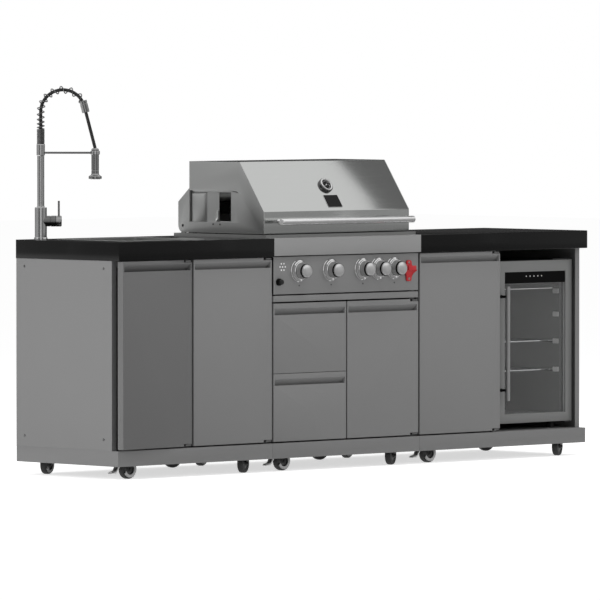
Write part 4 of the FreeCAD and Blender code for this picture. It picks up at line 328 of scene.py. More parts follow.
def first_vertex(where):
    """New mesh object of one selected vertex, in edit mode."""
    bpy.ops.object.select_all(action="DESELECT")
    bpy.ops.mesh.primitive_plane_add(size=0.001)
    bpy.ops.object.mode_set(mode="EDIT")
    bpy.ops.mesh.select_mode(type="VERT")
    bpy.ops.mesh.select_all(action="SELECT")
    bpy.ops.mesh.merge(type="CENTER")
    bpy.ops.transform.translate(value=where)
    return bpy.context.object


def drawn(name, corners, push):
    """Outline drawn corner by corner, filled and pushed out along a vector."""
    piece = first_vertex(corners[0])
    for here, following in zip(corners, corners[1:]):
        bpy.ops.mesh.extrude_vertices_move(TRANSFORM_OT_translate={"value": following - here})
    bpy.ops.mesh.select_all(action="SELECT")
    bpy.ops.mesh.edge_face_add()
    bpy.ops.mesh.extrude_region_move(TRANSFORM_OT_translate={"value": push})
    bpy.ops.mesh.select_all(action="SELECT")
    bpy.ops.mesh.normals_make_consistent(inside=False)
    bpy.ops.object.mode_set(mode="OBJECT")
    return settle(piece, name)


FACE, BACK, FOOT = 3, 31, 116


def front(name, x0, x1, z0, z1, lip, hinged):
    """Front with its trough, hollow back and bracket notches."""
    end, hem, bracket = 6, 34, 44
    piece = block(name, at(x0, FACE, z0), at(x1, BACK, z1))
    top = z1 - lip
    trough = ((FACE - 2, top + 0.4), (FACE, top), (26.8, top - 24.8), (FACE - 2, top - 25))
    wedge = drawn("wedge", [at(x0 + end, y, z) for y, z in trough],
        Vector(((x1 - x0 - 2 * end) / 1000, 0, 0)))
    ease(wedge, 0.0015, 2)
    hollow = block("hollow", at(x0 + hem, 17, z0 + hem), at(x1 - hem, BACK + 2, top - hem - 1),
        0.004)
    combine(piece, "DIFFERENCE", wedge, hollow)
    if hinged:
        for low, high in ((z0 - 1, z0 + 9), (z1 - 9, z1 + 1)):
            combine(piece, "DIFFERENCE", block("notch", at(x1 - bracket, 0, low),
                at(x1 + 1, BACK + 3, high)))
    ease(piece, 0.0009, 2)
    return smooth(piece)


front_coat = finish("front_powder_coat", tone(123), Roughness=0.46, Drift=0.06,
    Drift_Scale=(1.2, 1.2, 2.4), Grain_Bump=0.14)
# The first door's darker tone is painted shade, where less light falls on it; the real coat matches
# the other fronts.
painted_shade_coat = finish("door_1_painted_shade_coat", tone(101), Roughness=0.48, Drift=0.07,
    Drift_Scale=(1.2, 1.2, 2.4), Grain_Bump=0.14)
hinge = at(380, 17, 0)
ajar = (Matrix.Translation(hinge) @ Matrix.Rotation(math.radians(4), 4, "Z")
        @ Matrix.Translation(-hinge))
for number, x0, x1, z1, lip in ((1, 4, 388, 827, 14), (2, 399, 814, 827, 14),
        (3, 1223, 1614, 649, 20), (4, 1624, 2075, 827, 14)):
    leaf = front(f"door_{number}_leaf", x0, x1, FOOT, z1, lip, True)
    if number == 1:
        leaf.data.transform(ajar)
    fit(leaf, painted_shade_coat if number == 1 else front_coat, f"door_{number}", f"door_{number}",
        slot="grey_metal")


def pick(piece, kind, wanted):
    """Enter edit mode with the faces or the edges that pass a test."""
    only(piece)
    bpy.ops.object.mode_set(mode="EDIT")
    bpy.ops.mesh.select_mode(type=kind)
    bpy.ops.mesh.select_all(action="DESELECT")
    made = bmesh.from_edit_mesh(piece.data)
    for item in made.faces if kind == "FACE" else made.edges:
        item.select = wanted(item)


def tray_box(name, low, high, wall=0.0015):
    """Sheet box open at the top."""
    piece = block(name, low, high)
    pick(piece, "FACE", lambda face: face.normal.z > 0.9)
    bpy.ops.mesh.inset(thickness=wall)
    bpy.ops.mesh.extrude_region_move(
        TRANSFORM_OT_translate={"value": (0, 0, low.z - high.z + wall)})
    bpy.ops.object.mode_set(mode="OBJECT")
    return ease(piece, wall / 4, 1)


galvanised = finish("drawer_galvanised", tone(150), metal=1.0, Roughness=0.45, Drift=0.2,
    Drift_Scale=(40, 40, 40))
for name, body, z0, z1 in (("lower_drawer", "drawer_low", FOOT, 377),
        ("upper_drawer", "drawer_high", 379, 649)):
    face = front(name + "_face", 823, 1216, z0, z1, 20, False)
    fit(face, front_coat, body, name, slot="grey_metal")
    box = tray_box(name + "_box", at(843, BACK, z0 + 22), at(1196, 451, z1 - 70))
    fit(box, galvanised, body, name, slot="grey_metal")

tray_face = ease(block("drip_tray_face", at(823, FACE, 655), at(1614, BACK, 679)), 0.0015)
fit(smooth(tray_face), front_coat, "tray", "drip_tray", slot="grey_metal")
grease_pan = tray_box("drip_tray_pan", at(853, BACK, 659), at(1584, 471, 679))
fit(grease_pan, galvanised, "tray", "drip_tray", slot="grey_metal")


# Plinth: three folded steel trays set end to end, skirts down, each with four caster plates
# bolted under its deck. The first is holed for the sink's waste pipe.
def holed(piece, where, radius, depth, sides=48):
    """Drill an upright round hole into a piece."""
    bpy.ops.mesh.primitive_cylinder_add(vertices=sides, radius=radius, depth=depth, location=where)
    return combine(piece, "DIFFERENCE", bpy.context.object)


def hollowed(name, low, high, inner_low, inner_high):
    """Block with another block cut out of it."""
    return combine(block(name, low, high), "DIFFERENCE", block("inner", inner_low, inner_high))


MODULES, DEPTH = ((0, 816), (816, 1619), (1619, 2564)), 570
DRAIN_X, DRAIN_Y = 325, 275
for number, (x0, x1) in enumerate(MODULES, 1):
    plinth = hollowed(f"plinth_tray_{number}", at(x0 + 0.3, 0, 51), at(x1 - 0.3, DEPTH, 110),
        at(x0 + 2.3, 2, 40), at(x1 - 2.3, DEPTH - 2, 108))
    if number == 1:
        holed(plinth, at(DRAIN_X, DRAIN_Y, 110), 0.026, 0.1)
    ease(plinth, 0.0007, 2)
    fit(smooth(plinth), grey_coat, "island", "base_plinth", slot="grey_metal")

# Casters: black zinc forks on a ball race, with moulded wheels on a bolt. The left ones of each
# module have a pale thread guard, and the front left one a pressed steel foot brake too.
black_zinc = finish("black_zinc", tone(52), metal=0.6, Roughness=0.42, Drift=0.15,
    Drift_Scale=(80, 80, 80))
rubber = finish("black_rubber", tone(34), Roughness=0.6, Drift=0.15, Grain_Bump=0.2)
hub_plastic = finish("hub_plastic", tone(60), Roughness=0.45, Drift=0.1)
pale_plastic = finish("pale_plastic", tone(185), Roughness=0.4, Drift=0.06)
pressed_zinc = finish("pressed_zinc", tone(190), metal=1.0, Roughness=0.3, Drift=0.15,
    Drift_Scale=(90, 90, 90))
AXLE = Vector((24, 0, 37.5)) / 1000


def join(first, *others):
    """One mesh from several, each keeping its material."""
    only(first)
    for other in others:
        other.select_set(True)
    bpy.ops.object.join()
    return first


def lathe(name, profile, where, along=(0, 0, 1), steps=48, closed=False):
    """Half profile of radius and height pairs in millimetres, spun and stood on an axis."""
    points = [Vector((radius / 1000, 0, height / 1000)) for radius, height in profile]
    if closed:
        points.append(points[0])
    piece = first_vertex(points[0])
    for here, following in zip(points, points[1:]):
        bpy.ops.mesh.extrude_vertices_move(TRANSFORM_OT_translate={"value": following - here})
    bpy.ops.mesh.select_all(action="SELECT")
    bpy.ops.mesh.spin(steps=steps, angle=math.tau, center=(0, 0, 0), axis=(0, 0, 1))
    bpy.ops.mesh.select_all(action="SELECT")
    bpy.ops.mesh.remove_doubles(threshold=1e-6)
    bpy.ops.mesh.normals_make_consistent(inside=False)
    bpy.ops.object.mode_set(mode="OBJECT")
    piece.rotation_euler = Vector(along).to_track_quat("Z", "Y").to_euler()
    piece.location = where
    return settle(piece, name)


def leg(name, side):
    """One side plate of a fork, from the crown down to the axle."""
    outline = [(-21, 82), (23, 82), (29, 78), (34, 38), (31, 31), (24, 28), (17, 31), (14, 37),
               (-4, 62), (-20, 70)]
    near = side * 13.5 - (3 if side < 0 else 0)
    plate = drawn(name, [Vector((x, near, z)) / 1000 for x, z in outline], Vector((0, 0.003, 0)))
    return ease(plate, 0.0008, 1)


def sliced(piece, where, way, **kept):
    """Cut through a whole mesh along a plane."""
    only(piece)
    bpy.ops.object.mode_set(mode="EDIT")
    bpy.ops.mesh.select_all(action="SELECT")
    bpy.ops.mesh.bisect(plane_co=where, plane_no=way, **kept)
    bpy.ops.object.mode_set(mode="OBJECT")


fork_model = leg("fork", -1)
crown = block("crown", Vector((-21, -16.5, 79)) / 1000, Vector((27, 16.5, 82)) / 1000, 0.001, 1)
race = lathe("race", [(6.2, 82), (21, 82), (23, 84), (23, 90), (20, 93), (21, 95), (23, 97),
    (23, 102), (20, 104), (6.2, 104)], (0, 0, 0), steps=32, closed=True)
bolt_head = lathe("bolt", [(0, 16), (5.5, 16), (5.5, 19.5), (4.5, 20.5), (0, 20.5)], AXLE,
    (0, -1, 0), 6)
bolt_nut = lathe("nut", [(0, 16), (5.5, 16), (5.5, 20), (3, 20.4), (3, 23), (0, 23)], AXLE,
    (0, 1, 0), 6)
shank = lathe("shank", [(0, -16), (3, -16), (3, 16), (0, 16)], AXLE, (0, 1, 0), 16)
join(fork_model, leg("leg", 1), crown, race, bolt_head, bolt_nut, shank)

pedal_model = drawn("pedal", [Vector((x, -11, z)) / 1000 for x, z in (
    (-20, 74), (-24, 70), (-44, 34), (-66, 27), (-68, 22), (-44, 22), (-36, 30), (-16, 66))],
    Vector((0, 0.022, 0)))
ease(pedal_model, 0.0015, 2)
ribs = [block(f"rib_{i}", Vector((-65 + 5.5 * i, -9, 27 + 1.1 * i)) / 1000,
              Vector((-62.5 + 5.5 * i, 9, 30 + 1.1 * i)) / 1000, 0.0006, 1) for i in range(4)]
join(pedal_model, *ribs)
guard_model = lathe("guard", [(21.5, 12.6), (32.5, 12.6), (32.5, 15.2), (31, 16.2), (21.5, 16.2)],
    AXLE, (0, -1, 0), 48, True)
sliced(guard_model, AXLE + Vector((-0.006, 0, 0.006)), (-0.7, 0, 0.7), use_fill=True,
       clear_outer=True)
tyre_model = lathe("tyre", [(25, -11), (33, -12), (36, -11), (37.5, -7), (37.5, 7), (36, 11),
    (33, 12), (25, 11)], AXLE, (0, 1, 0), 56, True)
hub_model = lathe("hub", [(3.1, -12), (8, -12), (9.5, -10), (22, -8.5), (25.2, -10.5), (25.2, 10.5),
    (22, 8.5), (9.5, 10), (8, 12), (3.1, 12)], AXLE, (0, 1, 0), 40, True)
spokes = [block(f"spoke_{i}", Vector((-1.5, -10, 8)) / 1000, Vector((1.5, 10, 24)) / 1000)
          for i in range(5)]
for i, spoke in enumerate(spokes):
    spoke.data.transform(Matrix.Translation(AXLE) @ Matrix.Rotation(math.tau * i / 5, 4, "Y"))
join(hub_model, *spokes)


def copy_of(model, name, matrix, angle=32):
    """Smooth copy of a piece with its own mesh, moved by a matrix."""
    made = model.copy()
    made.data = model.data.copy()
    scene.collection.objects.link(made)
    made.data.transform(matrix)
    made.name = name
    return smooth(made, angle)


number, inset = 0, 85
for y, left_turn, right_turn in ((64, 0, 205), (506, 20, 340)):
    for x0, x1 in MODULES:
        for x, turn in ((x0 + inset, left_turn), (x1 - inset, right_turn)):
            number += 1
            stand = Matrix.Translation(at(x, y, 0)) @ Matrix.Rotation(math.radians(turn), 4, "Z")
            name, body, wheel = f"caster_{number}_", f"caster_{number}", f"wheel_{number}"
            fit(copy_of(fork_model, name + "frame", stand), black_zinc, body, name + "fork",
                slot="zinc")
            fit(copy_of(tyre_model, name + "tyre", stand, 50), rubber, wheel, name + "wheel",
                slot="wheel_rubber")
            fit(copy_of(hub_model, name + "hub", stand), hub_plastic, wheel, name + "wheel",
                slot="wheel_rubber")
            if turn == left_turn:
                if turn == 0:
                    fit(copy_of(pedal_model, name + "brake", stand), pressed_zinc, body,
                        slot="zinc")
                fit(copy_of(guard_model, name + "guard", stand), pale_plastic, body, slot="zinc")
for model in (fork_model, pedal_model, guard_model, tyre_model, hub_model):
    bpy.data.objects.remove(model)

# Panel screws: dark pan heads with a crossed recess, at the corners of the left end panel.
screw_dark = finish("dark_screw", tone(45), metal=0.7, Roughness=0.4)


def pan_screw(name, where, along, made, body, radius=4.8, rise=2.3):
    """Domed screw head with a crossed recess."""
    head = lathe(name, [(0, 0), (radius, 0), (radius, rise * 0.35), (radius * 0.8, rise * 0.8),
        (radius * 0.4, rise), (0, rise)], (0, 0, 0), (0, 0, 1), 24)
    for long, wide in ((radius, 1.0), (1.0, radius)):
        cross = block("cross", Vector((-long * 0.55, -wide * 0.55, rise * 0.45)) / 1000,
            Vector((long * 0.55, wide * 0.55, rise + 1)) / 1000)
        combine(head, "DIFFERENCE", cross)
    facing = Vector(along).to_track_quat("Z", "Y").to_matrix().to_4x4()
    head.data.transform(Matrix.Translation(where) @ facing)
    fit(smooth(head), made, body, slot="zinc")


for i, (y, z) in enumerate(((80, 152), (524, 152), (80, 800), (524, 800)), 1):
    pan_screw(f"panel_screw_{i}", at(0.3, y, z), (-1, 0, 0), screw_dark, "island")

# Worktops: near-black polished slabs with a deep front edge, eased all round. The left one is
# cut out for the sink and drilled for the tap.
stone = finish("black_worktop", tone(18), Roughness=0.16, Drift=0.2, Grain_Tone=0.15,
               Grain_Scale=(1400, 1400, 1400), Rough_Swing=0.05, Grain_Bump=0.02,
               Specular_IOR_Level=0.25)
WORK_TOP, TAP_X, TAP_Y = 901, 85, 523
for side, x0, x1 in (("left", -2, 816), ("right", 1619, 2566)):
    slab = hollowed(side + "_worktop", at(x0, -9, 830), at(x1, DEPTH, WORK_TOP),
        at(x0 + 34, 25, 820), at(x1 - 34, 536, 879))
    if side == "left":
        combine(slab, "DIFFERENCE", block("opening", at(126, 91, 860), at(524, 459, 920)))
        holed(slab, at(TAP_X, TAP_Y, 880), 0.016, 0.2, 32)
    ease(slab, 0.0025, 3)
    fit(smooth(slab), stone, "island", "countertops", slot="worktop")

# Sink: one pressed stainless bowl with rounded corners and a flat rim on the worktop, and a
# flanged drain with its strainer and tail.
steel = finish("brushed_steel", tone(176, 0.99, 1.0, 0.985), metal=1.0, Roughness=0.34,
               Drift=0.05, Grain_Scale=(3, 700, 700), Grain_Tone=0.1, Rough_Swing=0.12,
               Grain_Bump=0.05)


def round_edges(piece, wanted, radius, steps):
    """Round the edges whose two end points pass a test."""
    pick(piece, "EDGE", lambda edge: wanted(*(end.co for end in edge.verts)))
    bpy.ops.mesh.bevel(offset=radius, segments=steps, affect="EDGES")
    bpy.ops.object.mode_set(mode="OBJECT")
    return piece


def upright_rounded(name, low, high, radius, steps=6):
    """Block with its four upright edges rounded."""
    tall = 0.9 * (high.z - low.z)
    return round_edges(block(name, low, high), lambda a, b: abs(a.z - b.z) > tall, radius, steps)


BOWL = 726
drain_hole = at(DRAIN_X, DRAIN_Y, BOWL)
rim = upright_rounded("sink_bowl", at(112, 77, WORK_TOP), at(538, 473, WORK_TOP + 1.6), 0.02)
shell = upright_rounded("shell", at(128.8, 93.8, BOWL - 1.2), at(521.2, 456.2, 902), 0.03)
combine(rim, "UNION", shell)
basin = upright_rounded("basin", at(130, 95, BOWL), at(520, 455, 910), 0.029, 8)
round_edges(basin, lambda a, b: max(a.z, b.z) < (BOWL + 0.1) / 1000, 0.012, 5)
combine(rim, "DIFFERENCE", basin)
holed(rim, drain_hole, 0.0325, 0.02)
ease(rim, 0.0005, 1, 50)
fit(smooth(rim), steel, "island", "sink", slot="steel")
drain = lathe("sink_drain", [(17.5, -70), (20, -70), (20, -6), (32, -6), (32, 0), (42, 0),
    (44, 1.5), (42, 3), (30, 2), (26, -3), (17.5, -5)], drain_hole, closed=True)
fit(smooth(drain), steel, "island", "sink", slot="steel")
strainer = lathe("sink_strainer", [(0, -2), (24, -2), (25, -3), (24, -4), (0, -4)], drain_hole,
    steps=32)
for i in range(8):
    spin_by = math.tau * i / 8
    holed(strainer, at(DRAIN_X + 15 * math.cos(spin_by), DRAIN_Y + 15 * math.sin(spin_by), 723),
          0.0028, 0.02, 12)
fit(smooth(strainer), steel, "island", slot="steel")

# Tap: satin chromed brass, turned. A foot and a stout body with a side mixer, a slim column,
# a collar with the support arm and its dock, and under the worktop the shank and two tails.
# One chrome finish in three tones: the mid and deep copies are painted shade, standing in for the
# darker reflections on the mixer, lever, arm, spray head, sleeve and gauge bezel.
chrome, chrome_mid_painted_shade, chrome_deep_painted_shade = (
    finish(name, tone(level), metal=1.0, Roughness=roughness, Drift=drift, Drift_Scale=(9, 9, 9),
           Rough_Swing=0.04, Grain_Bump=0.0)
    for name, level, roughness, drift in (
        ("chrome", 192, 0.12, 0.04), ("chrome_mid_painted_shade", 150, 0.14, 0.05),
        ("chrome_deep_painted_shade", 108, 0.16, 0.05)))
TAP = at(TAP_X, TAP_Y, WORK_TOP)
OUT = Vector((math.cos(math.radians(44.4)), -math.sin(math.radians(44.4)), 0))
UP = Vector((0, 0, 1))
MIXER = TAP + UP * 0.070
body = lathe("tap_post", [(0, 0), (26, 0), (26, 3), (24.4, 8), (23, 9), (23, 121), (21.5, 123),
    (0, 123)], TAP, steps=56)
mixer = lathe("tap_mixer", [(0, 0), (20.6, 0), (20.6, 36), (19.4, 36.8), (19.4, 39.2), (21, 40),
    (21, 57), (20, 58), (0, 58)], MIXER, OUT)
shank = lathe("shank", [(0, -50), (14, -50), (15, -49), (15, 0), (0, 0)], TAP, steps=32)
nut = lathe("nut", [(15, -42), (24, -42), (25, -40), (25, -34), (24, -32), (15, -32)], TAP,
            steps=6, closed=True)
join(body, shank, nut)
for sign in (-1, 1):
    across = Vector((OUT.y, -OUT.x, 0)) * sign * 0.0075
    join(body, lathe("tail", [(0, -110), (4.4, -110), (4.4, -86), (5, -85), (5, -50), (0, -50)],
        TAP + across, steps=16))
fit(smooth(body, 12), chrome, "island", "tap_body", slot="chrome")
fit(smooth(mixer, 25), chrome_deep_painted_shade, "island", "tap_body", slot="chrome")
lever = lathe("tap_lever_cap", [(0, 58.3), (20, 58.3), (21, 59.3), (21, 69), (20.6, 69.6),
    (20.6, 70.4), (21, 71), (21, 77), (18.5, 79.7), (0, 80)], MIXER, OUT)
join(lever, lathe("pin", [(0, 0), (4, 0), (4, 76), (3.2, 78), (0, 78)], MIXER + OUT * 0.069,
    steps=20))
fit(smooth(lever, 25), chrome_mid_painted_shade, "lever", "tap_lever", slot="chrome")
column = lathe("tap_column_tube", [(0, 123.3), (15, 123.3), (15, 126), (13.5, 127.5), (13.5, 320),
    (15.4, 321), (16, 323), (16, 363), (15, 365), (0, 365)], TAP)
arm = lathe("tap_arm", [(0, 0), (4, 0), (4, 192.5), (0, 192.5)], TAP + UP * 0.332, OUT, 20)
fit(smooth(arm, 25), chrome_deep_painted_shade, "spout", "tap_column", slot="chrome")
DOCK_REACH, HEAD_TOP = 0.208445, 349
HEAD = TAP + OUT * DOCK_REACH
join(column, lathe("dock", [(15, 325), (17.4, 325), (18, 326), (18, 338), (17.4, 339), (15, 339)],
    HEAD, steps=40, closed=True))
fit(smooth(column, 12), chrome, "spout", "tap_column", slot="chrome")
head = lathe("spray_head_barrel", [(0, 231), (22, 231), (25, 232.5), (25, 241), (23.5, 243),
    (17, 246), (14.4, 252), (14.4, 263), (13.9, 264), (13.9, 266), (14.5, 267), (14.5, 344),
    (11, HEAD_TOP), (0, HEAD_TOP)], HEAD)
for i in range(10):
    spin_by = math.tau * i / 10
    spot = HEAD + Vector((0.018 * math.cos(spin_by), 0.018 * math.sin(spin_by), 0.2307))
    join(head, lathe("nozzle", [(0, -0.6), (1.2, -0.6), (1.6, 0.6), (0, 0.6)], spot, steps=8))
fit(smooth(head, 12), chrome_mid_painted_shade, "spray", "spray_head", slot="chrome")

# Hose and spring: a black hose over an arch, inside one chromed wire that lies closed on the
# collar, opens out along the arch and ends in a sleeve.
RADIUS, RISE, DROP = 0.085, 0.488, math.radians(14.4)
STEM, COIL, TURN_STEPS = 0.365, 0.013, 20


def along_arch(far):
    """Centre and heading of the hose some metres past the collar, in the tap's own plane."""
    straight = RISE - STEM
    bend = RADIUS * (math.pi - DROP)
    if far < straight:
        return Vector((0, 0, STEM + far)), Vector((0, 0, 1))
    around = math.pi - min(far - straight, bend) / RADIUS
    heading = Vector((math.sin(around), 0, -math.cos(around)))
    centre = Vector((RADIUS, 0, RISE)) + Vector((math.cos(around), 0, math.sin(around))) * RADIUS
    return centre + heading * max(0, far - straight - bend), heading


def tap_place(point):
    """Point of the tap's own plane as a point of the island."""
    side = Vector((-OUT.y, OUT.x, 0))
    return TAP + OUT * point.x + side * point.y + UP * point.z


def tube(name, points, radius, sides=8):
    """Round tube along points, as a mesh."""
    curve = bpy.data.curves.new(name, "CURVE")
    curve.dimensions = "3D"
    curve.bevel_depth = radius
    curve.bevel_resolution = sides // 4
    curve.use_fill_caps = True
    line = curve.splines.new("POLY")
    line.points.add(len(points) - 1)
    for spot, point in zip(line.points, points):
        spot.co = (*point, 1)
    made = bpy.data.objects.new(name, curve)
    scene.collection.objects.link(made)
    only(made)
    bpy.ops.object.convert(target="MESH")
    return bpy.context.object


arch = RISE - STEM + RADIUS * (math.pi - DROP)
end_far = arch + (along_arch(arch)[0].z - HEAD_TOP / 1000) / math.cos(DROP)
HOSE_STEPS, HOSE_RADIUS, WIRE_RADIUS = 90, 0.0065, 0.0023
hose_line = [tap_place(along_arch(end_far * i / HOSE_STEPS)[0]) for i in range(HOSE_STEPS + 1)]
hose = tube("tap_hose_line", hose_line, HOSE_RADIUS, 16)
fit(smooth(hose, 60), rubber, "spout", "tap_hose", slot="rubber")
TIGHT, CLOSED, OPEN, FIRST, SLEEVE = 0.0048, 12, 11, 0.011, 0.0235
grown = arch - SLEEVE - TIGHT * CLOSED - FIRST * OPEN
wire = []
for i in range((CLOSED + OPEN) * TURN_STEPS + 1):
    turn = i / TURN_STEPS
    far = TIGHT * turn
    if turn > CLOSED:
        far = TIGHT * CLOSED + FIRST * (turn - CLOSED) + grown * ((turn - CLOSED) / OPEN) ** 2
    centre, heading = along_arch(far)
    angle = math.tau * turn
    beside = Vector((0, 1, 0)).cross(heading) * math.cos(angle) + Vector((0, math.sin(angle), 0))
    wire.append(tap_place(centre + beside * COIL))
spring_steel = finish("spring_steel", tone(112), metal=1.0, Roughness=0.2, Drift=0.05)
spring = tube("tap_spring_wire", wire, WIRE_RADIUS)
fit(smooth(spring, 60), spring_steel, "spout", "tap_spring", slot="chrome")
centre, heading = along_arch(arch)
sleeve = lathe("tap_sleeve", [(6.8, -23.5), (13.5, -23.5), (14.5, -22), (14.5, -14), (13.7, -13),
    (13.7, -10), (14.5, -9), (14.5, 22), (13.5, 23.5), (6.8, 23.5)], tap_place(centre),
    tap_place(heading) - TAP, 40, True)
fit(smooth(sleeve, 25), chrome_mid_painted_shade, "spout", "tap_column", slot="chrome")

# Control panel: a folded grey panel under a deeper fascia, with stepped chrome bezels pressed
# into it, an igniter with its dots, and a small printed mark under each main knob.
panel = hollowed("control_panel_sheet", at(823, FACE, 684), at(1614, 34, 829), at(820, 5, 686),
    at(1620, 40, 827))
ease(panel, 0.0008, 2)
fit(smooth(panel), front_coat, "island", "control_panel", slot="grey_metal")
fascia = hollowed("fascia", at(816.3, -9, 833), at(1618.7, 71, WORK_TOP), at(810, -7, 830),
    at(1630, 80, 899))
ease(fascia, 0.0008, 2)
# The fascia's lighter tone is painted light, where more light falls on the upper strip; the real
# coat is the same grey as the panel.
fascia_painted_light_coat = finish("fascia_painted_light_coat", tone(139), Roughness=0.44, Drift=0.05,
    Drift_Scale=(1.2, 1.2, 2.4), Grain_Bump=0.1)
fit(smooth(fascia), fascia_painted_light_coat, "island", "control_panel", slot="grey_metal")
bezel_chrome = finish("bezel_chrome", tone(228), metal=1.0, Roughness=0.08, Drift=0.05,
    Rough_Swing=0.03, Grain_Bump=0.0)
bright = finish("bright_chrome", tone(205), metal=1.0, Roughness=0.09, Drift=0.03,
                Rough_Swing=0.03, Grain_Bump=0.0)
skirt_satin = finish("knob_satin", tone(156), metal=0.6, Roughness=0.36, Drift=0.05)
pale_satin = finish("pale_satin", tone(212), metal=0.85, Roughness=0.38, Drift=0.04)
black_gloss = finish("black_gloss", tone(14), Roughness=0.22, Drift=0.1, Specular_IOR_Level=0.2)
white_print = finish("white_print", tone(235), Roughness=0.6)
dark_print = finish("dark_print", tone(62), Roughness=0.6)
front_way = (0, -1, 0)
KNOBS = [958.25 + 173.5 * step for step in (0, 1, 2, 3, 2.5)]
for number, x in enumerate(KNOBS, 1):
    seat = at(x, FACE, 773)
    bezel = lathe(f"knob_{number}_bezel", [
        (9, 0), (43, 0), (43, 2.2), (41.8, 3.4), (40.4, 3.8), (39.6, 10.6), (37.4, 12.4),
        (36, 12.6), (35.2, 16.6), (33.6, 18.2), (31.4, 18.2), (31, 14), (9, 14)],
        seat, front_way, 64, True)
    fit(smooth(bezel, 24), bezel_chrome, "island", "control_panel", slot="chrome")
    skirt = lathe(f"knob_{number}_skirt", [(5, 14.3), (30, 14.3), (30, 20), (28.8, 21.4),
        (28.4, 33), (27.2, 36), (5, 36)], seat, front_way, 64, True)
    ring = lathe(f"knob_{number}_ring", [(5, 35.8), (26.4, 35.8), (27.4, 36.8), (27.4, 42),
        (26.2, 43), (5, 43)], seat, front_way, 48, True)
    cap = lathe(f"knob_{number}_cap", [
        (0, 42.9), (24.4, 42.9), (25.4, 43.8), (25.4, 46), (24.2, 50.2), (21, 53.6), (15.8, 56.2),
        (8.4, 57.6), (0, 58)], seat, front_way, 56)
    for part, made in ((skirt, skirt_satin), (ring, black_gloss), (cap, pale_satin)):
        fit(smooth(part, 40), made, f"knob_{number}", f"knob_{number}", slot="chrome")
    if number < 5:
        mark = lathe(f"knob_{number}_mark", [(0, 0), (3.2, 0), (3.2, 0.3), (0, 0.3)],
            at(x + 3, FACE, 716), front_way, 16)
        fit(mark, dark_print, "island", slot="dark_plastic")
push_at = at(850, FACE, 732)
igniter_ring = lathe("igniter_bezel_ring", [(10.3, 0), (14, 0), (14, 7), (12.6, 10), (10.3, 10)],
    push_at, front_way, 40, True)
fit(smooth(igniter_ring), black_gloss, "island", "control_panel", slot="dark_plastic")
igniter = lathe("igniter_cap", [(0, 6.3), (10, 6.3), (10, 20), (8.6, 21.6), (4, 22), (0, 22)],
                push_at, front_way, 40)
fit(smooth(igniter), rubber, "igniter", "igniter_button", slot="dark_plastic")
for i in range(7):
    spin_by = math.tau * i / 6
    reach = 0 if i == 6 else 14
    dot = lathe(f"igniter_dot_{i + 1}", [(0, 0), (3.4, 0), (3, 0.5), (0, 0.5)],
                at(872 + reach * math.cos(spin_by), FACE, 790 + reach * math.sin(spin_by)),
                front_way, 12)
    fit(dot, white_print, "island", slot="dark_plastic")

# Bottle opener: one red-painted casting with a hooked mouth between two pointed wings that
# bend forward, held by a screw above and one below.
red = finish("red_paint", (0.47, 0.022, 0.028, 1), Roughness=0.3, Drift=0.08)
shield = [(-8, 0), (8, 0), (13, 5), (14.5, 18), (20, 30), (29, 41), (29, 44), (20, 54), (15, 64),
          (13.5, 76), (8, 82), (-8, 82), (-13.5, 76), (-15, 64), (-20, 54), (-29, 44), (-29, 41),
          (-20, 30), (-14.5, 18), (-13, 5)]
OPENER, WING_ROOT, WING, BEND = 1558, 0.012, 0.017, 0.015
opener = drawn("opener_casting", [at(OPENER + x, FACE, 720 + z) for x, z in shield],
               Vector((0, -0.006, 0)))
mouth = drawn("mouth", [at(OPENER - 20, y, z) for y, z in (
    (-2, 772), (-22, 781), (-23, 776), (-22, 763), (-11, 768), (-2, 748))], Vector((0.04, 0, 0)))
for x in (14, 18, 22, 26, -14, -18, -22, -26):
    sliced(opener, at(OPENER + x, 0, 760), (1, 0, 0))
for vertex in opener.data.vertices:
    reach = max(0, abs(vertex.co.x - at(OPENER, 0, 0).x) - WING_ROOT) / WING
    vertex.co.y -= BEND * reach ** 1.6
combine(opener, "UNION", mouth)
ease(opener, 0.0016, 3, 25)
fit(smooth(opener, 45), red, "island", "bottle_opener", slot="red_metal")
for name, z in (("low", 729.5), ("high", 792.5)):
    pan_screw("opener_screw_" + name, at(OPENER, -3, z), front_way, pressed_zinc, "island")

# Grill: a folded stainless firebox with a flat rim over both worktops, steel burners, and
# enamelled cast grates with a wire warming rack.
iron = finish("black_enamel", tone(48), Roughness=0.45, Drift=0.2, Grain_Bump=0.5,
              Grain_Scale=(400, 400, 400))
rim_steel = finish("rim_steel", tone(158, 0.99, 1.0, 0.985), metal=1.0, Roughness=0.3, Drift=0.04,
    Grain_Scale=(3, 700, 700), Grain_Tone=0.08, Rough_Swing=0.1, Grain_Bump=0.05)
dress(rim_steel, "firebox")
dress(steel, "gas_burners")
dress(iron, "cooking_grates")

# Hood: brushed stainless. One bent sheet runs from the front lip over the slope and the top to
# the hinge line, between two stamped ends that have a pocket, a spit slot and a half-round cover.
SECTION = [(52, 916), (52, 1002), (187, 1193), (468, 1193), (468, 1089), (531, 1035), (531, 942)]
hood_steel = finish("hood_steel", tone(190, 0.985, 1.0, 0.985), metal=1.0, Roughness=0.15,
    Drift=0.03, Grain_Scale=(2.5, 800, 800), Grain_Tone=0.07, Rough_Swing=0.1, Grain_Bump=0.04)
end_steel = finish("hood_end_steel", tone(176, 0.99, 1.0, 0.99), metal=1.0, Roughness=0.48,
    Drift=0.04, Grain_Scale=(700, 3, 700), Grain_Tone=0.05, Rough_Swing=0.1, Grain_Bump=0.04)
hood = drawn("hood_sheet", [at(820, y, z) for y, z in SECTION], Vector((0.790, 0, 0)))
ease(hood, 0.0022, 3, 12)
inner = [(53.5, 910), (53.5, 1001.5), (187.8, 1191.5), (466.5, 1191.5), (466.5, 1088.3),
         (529.5, 1034.3), (529.5, 930)]
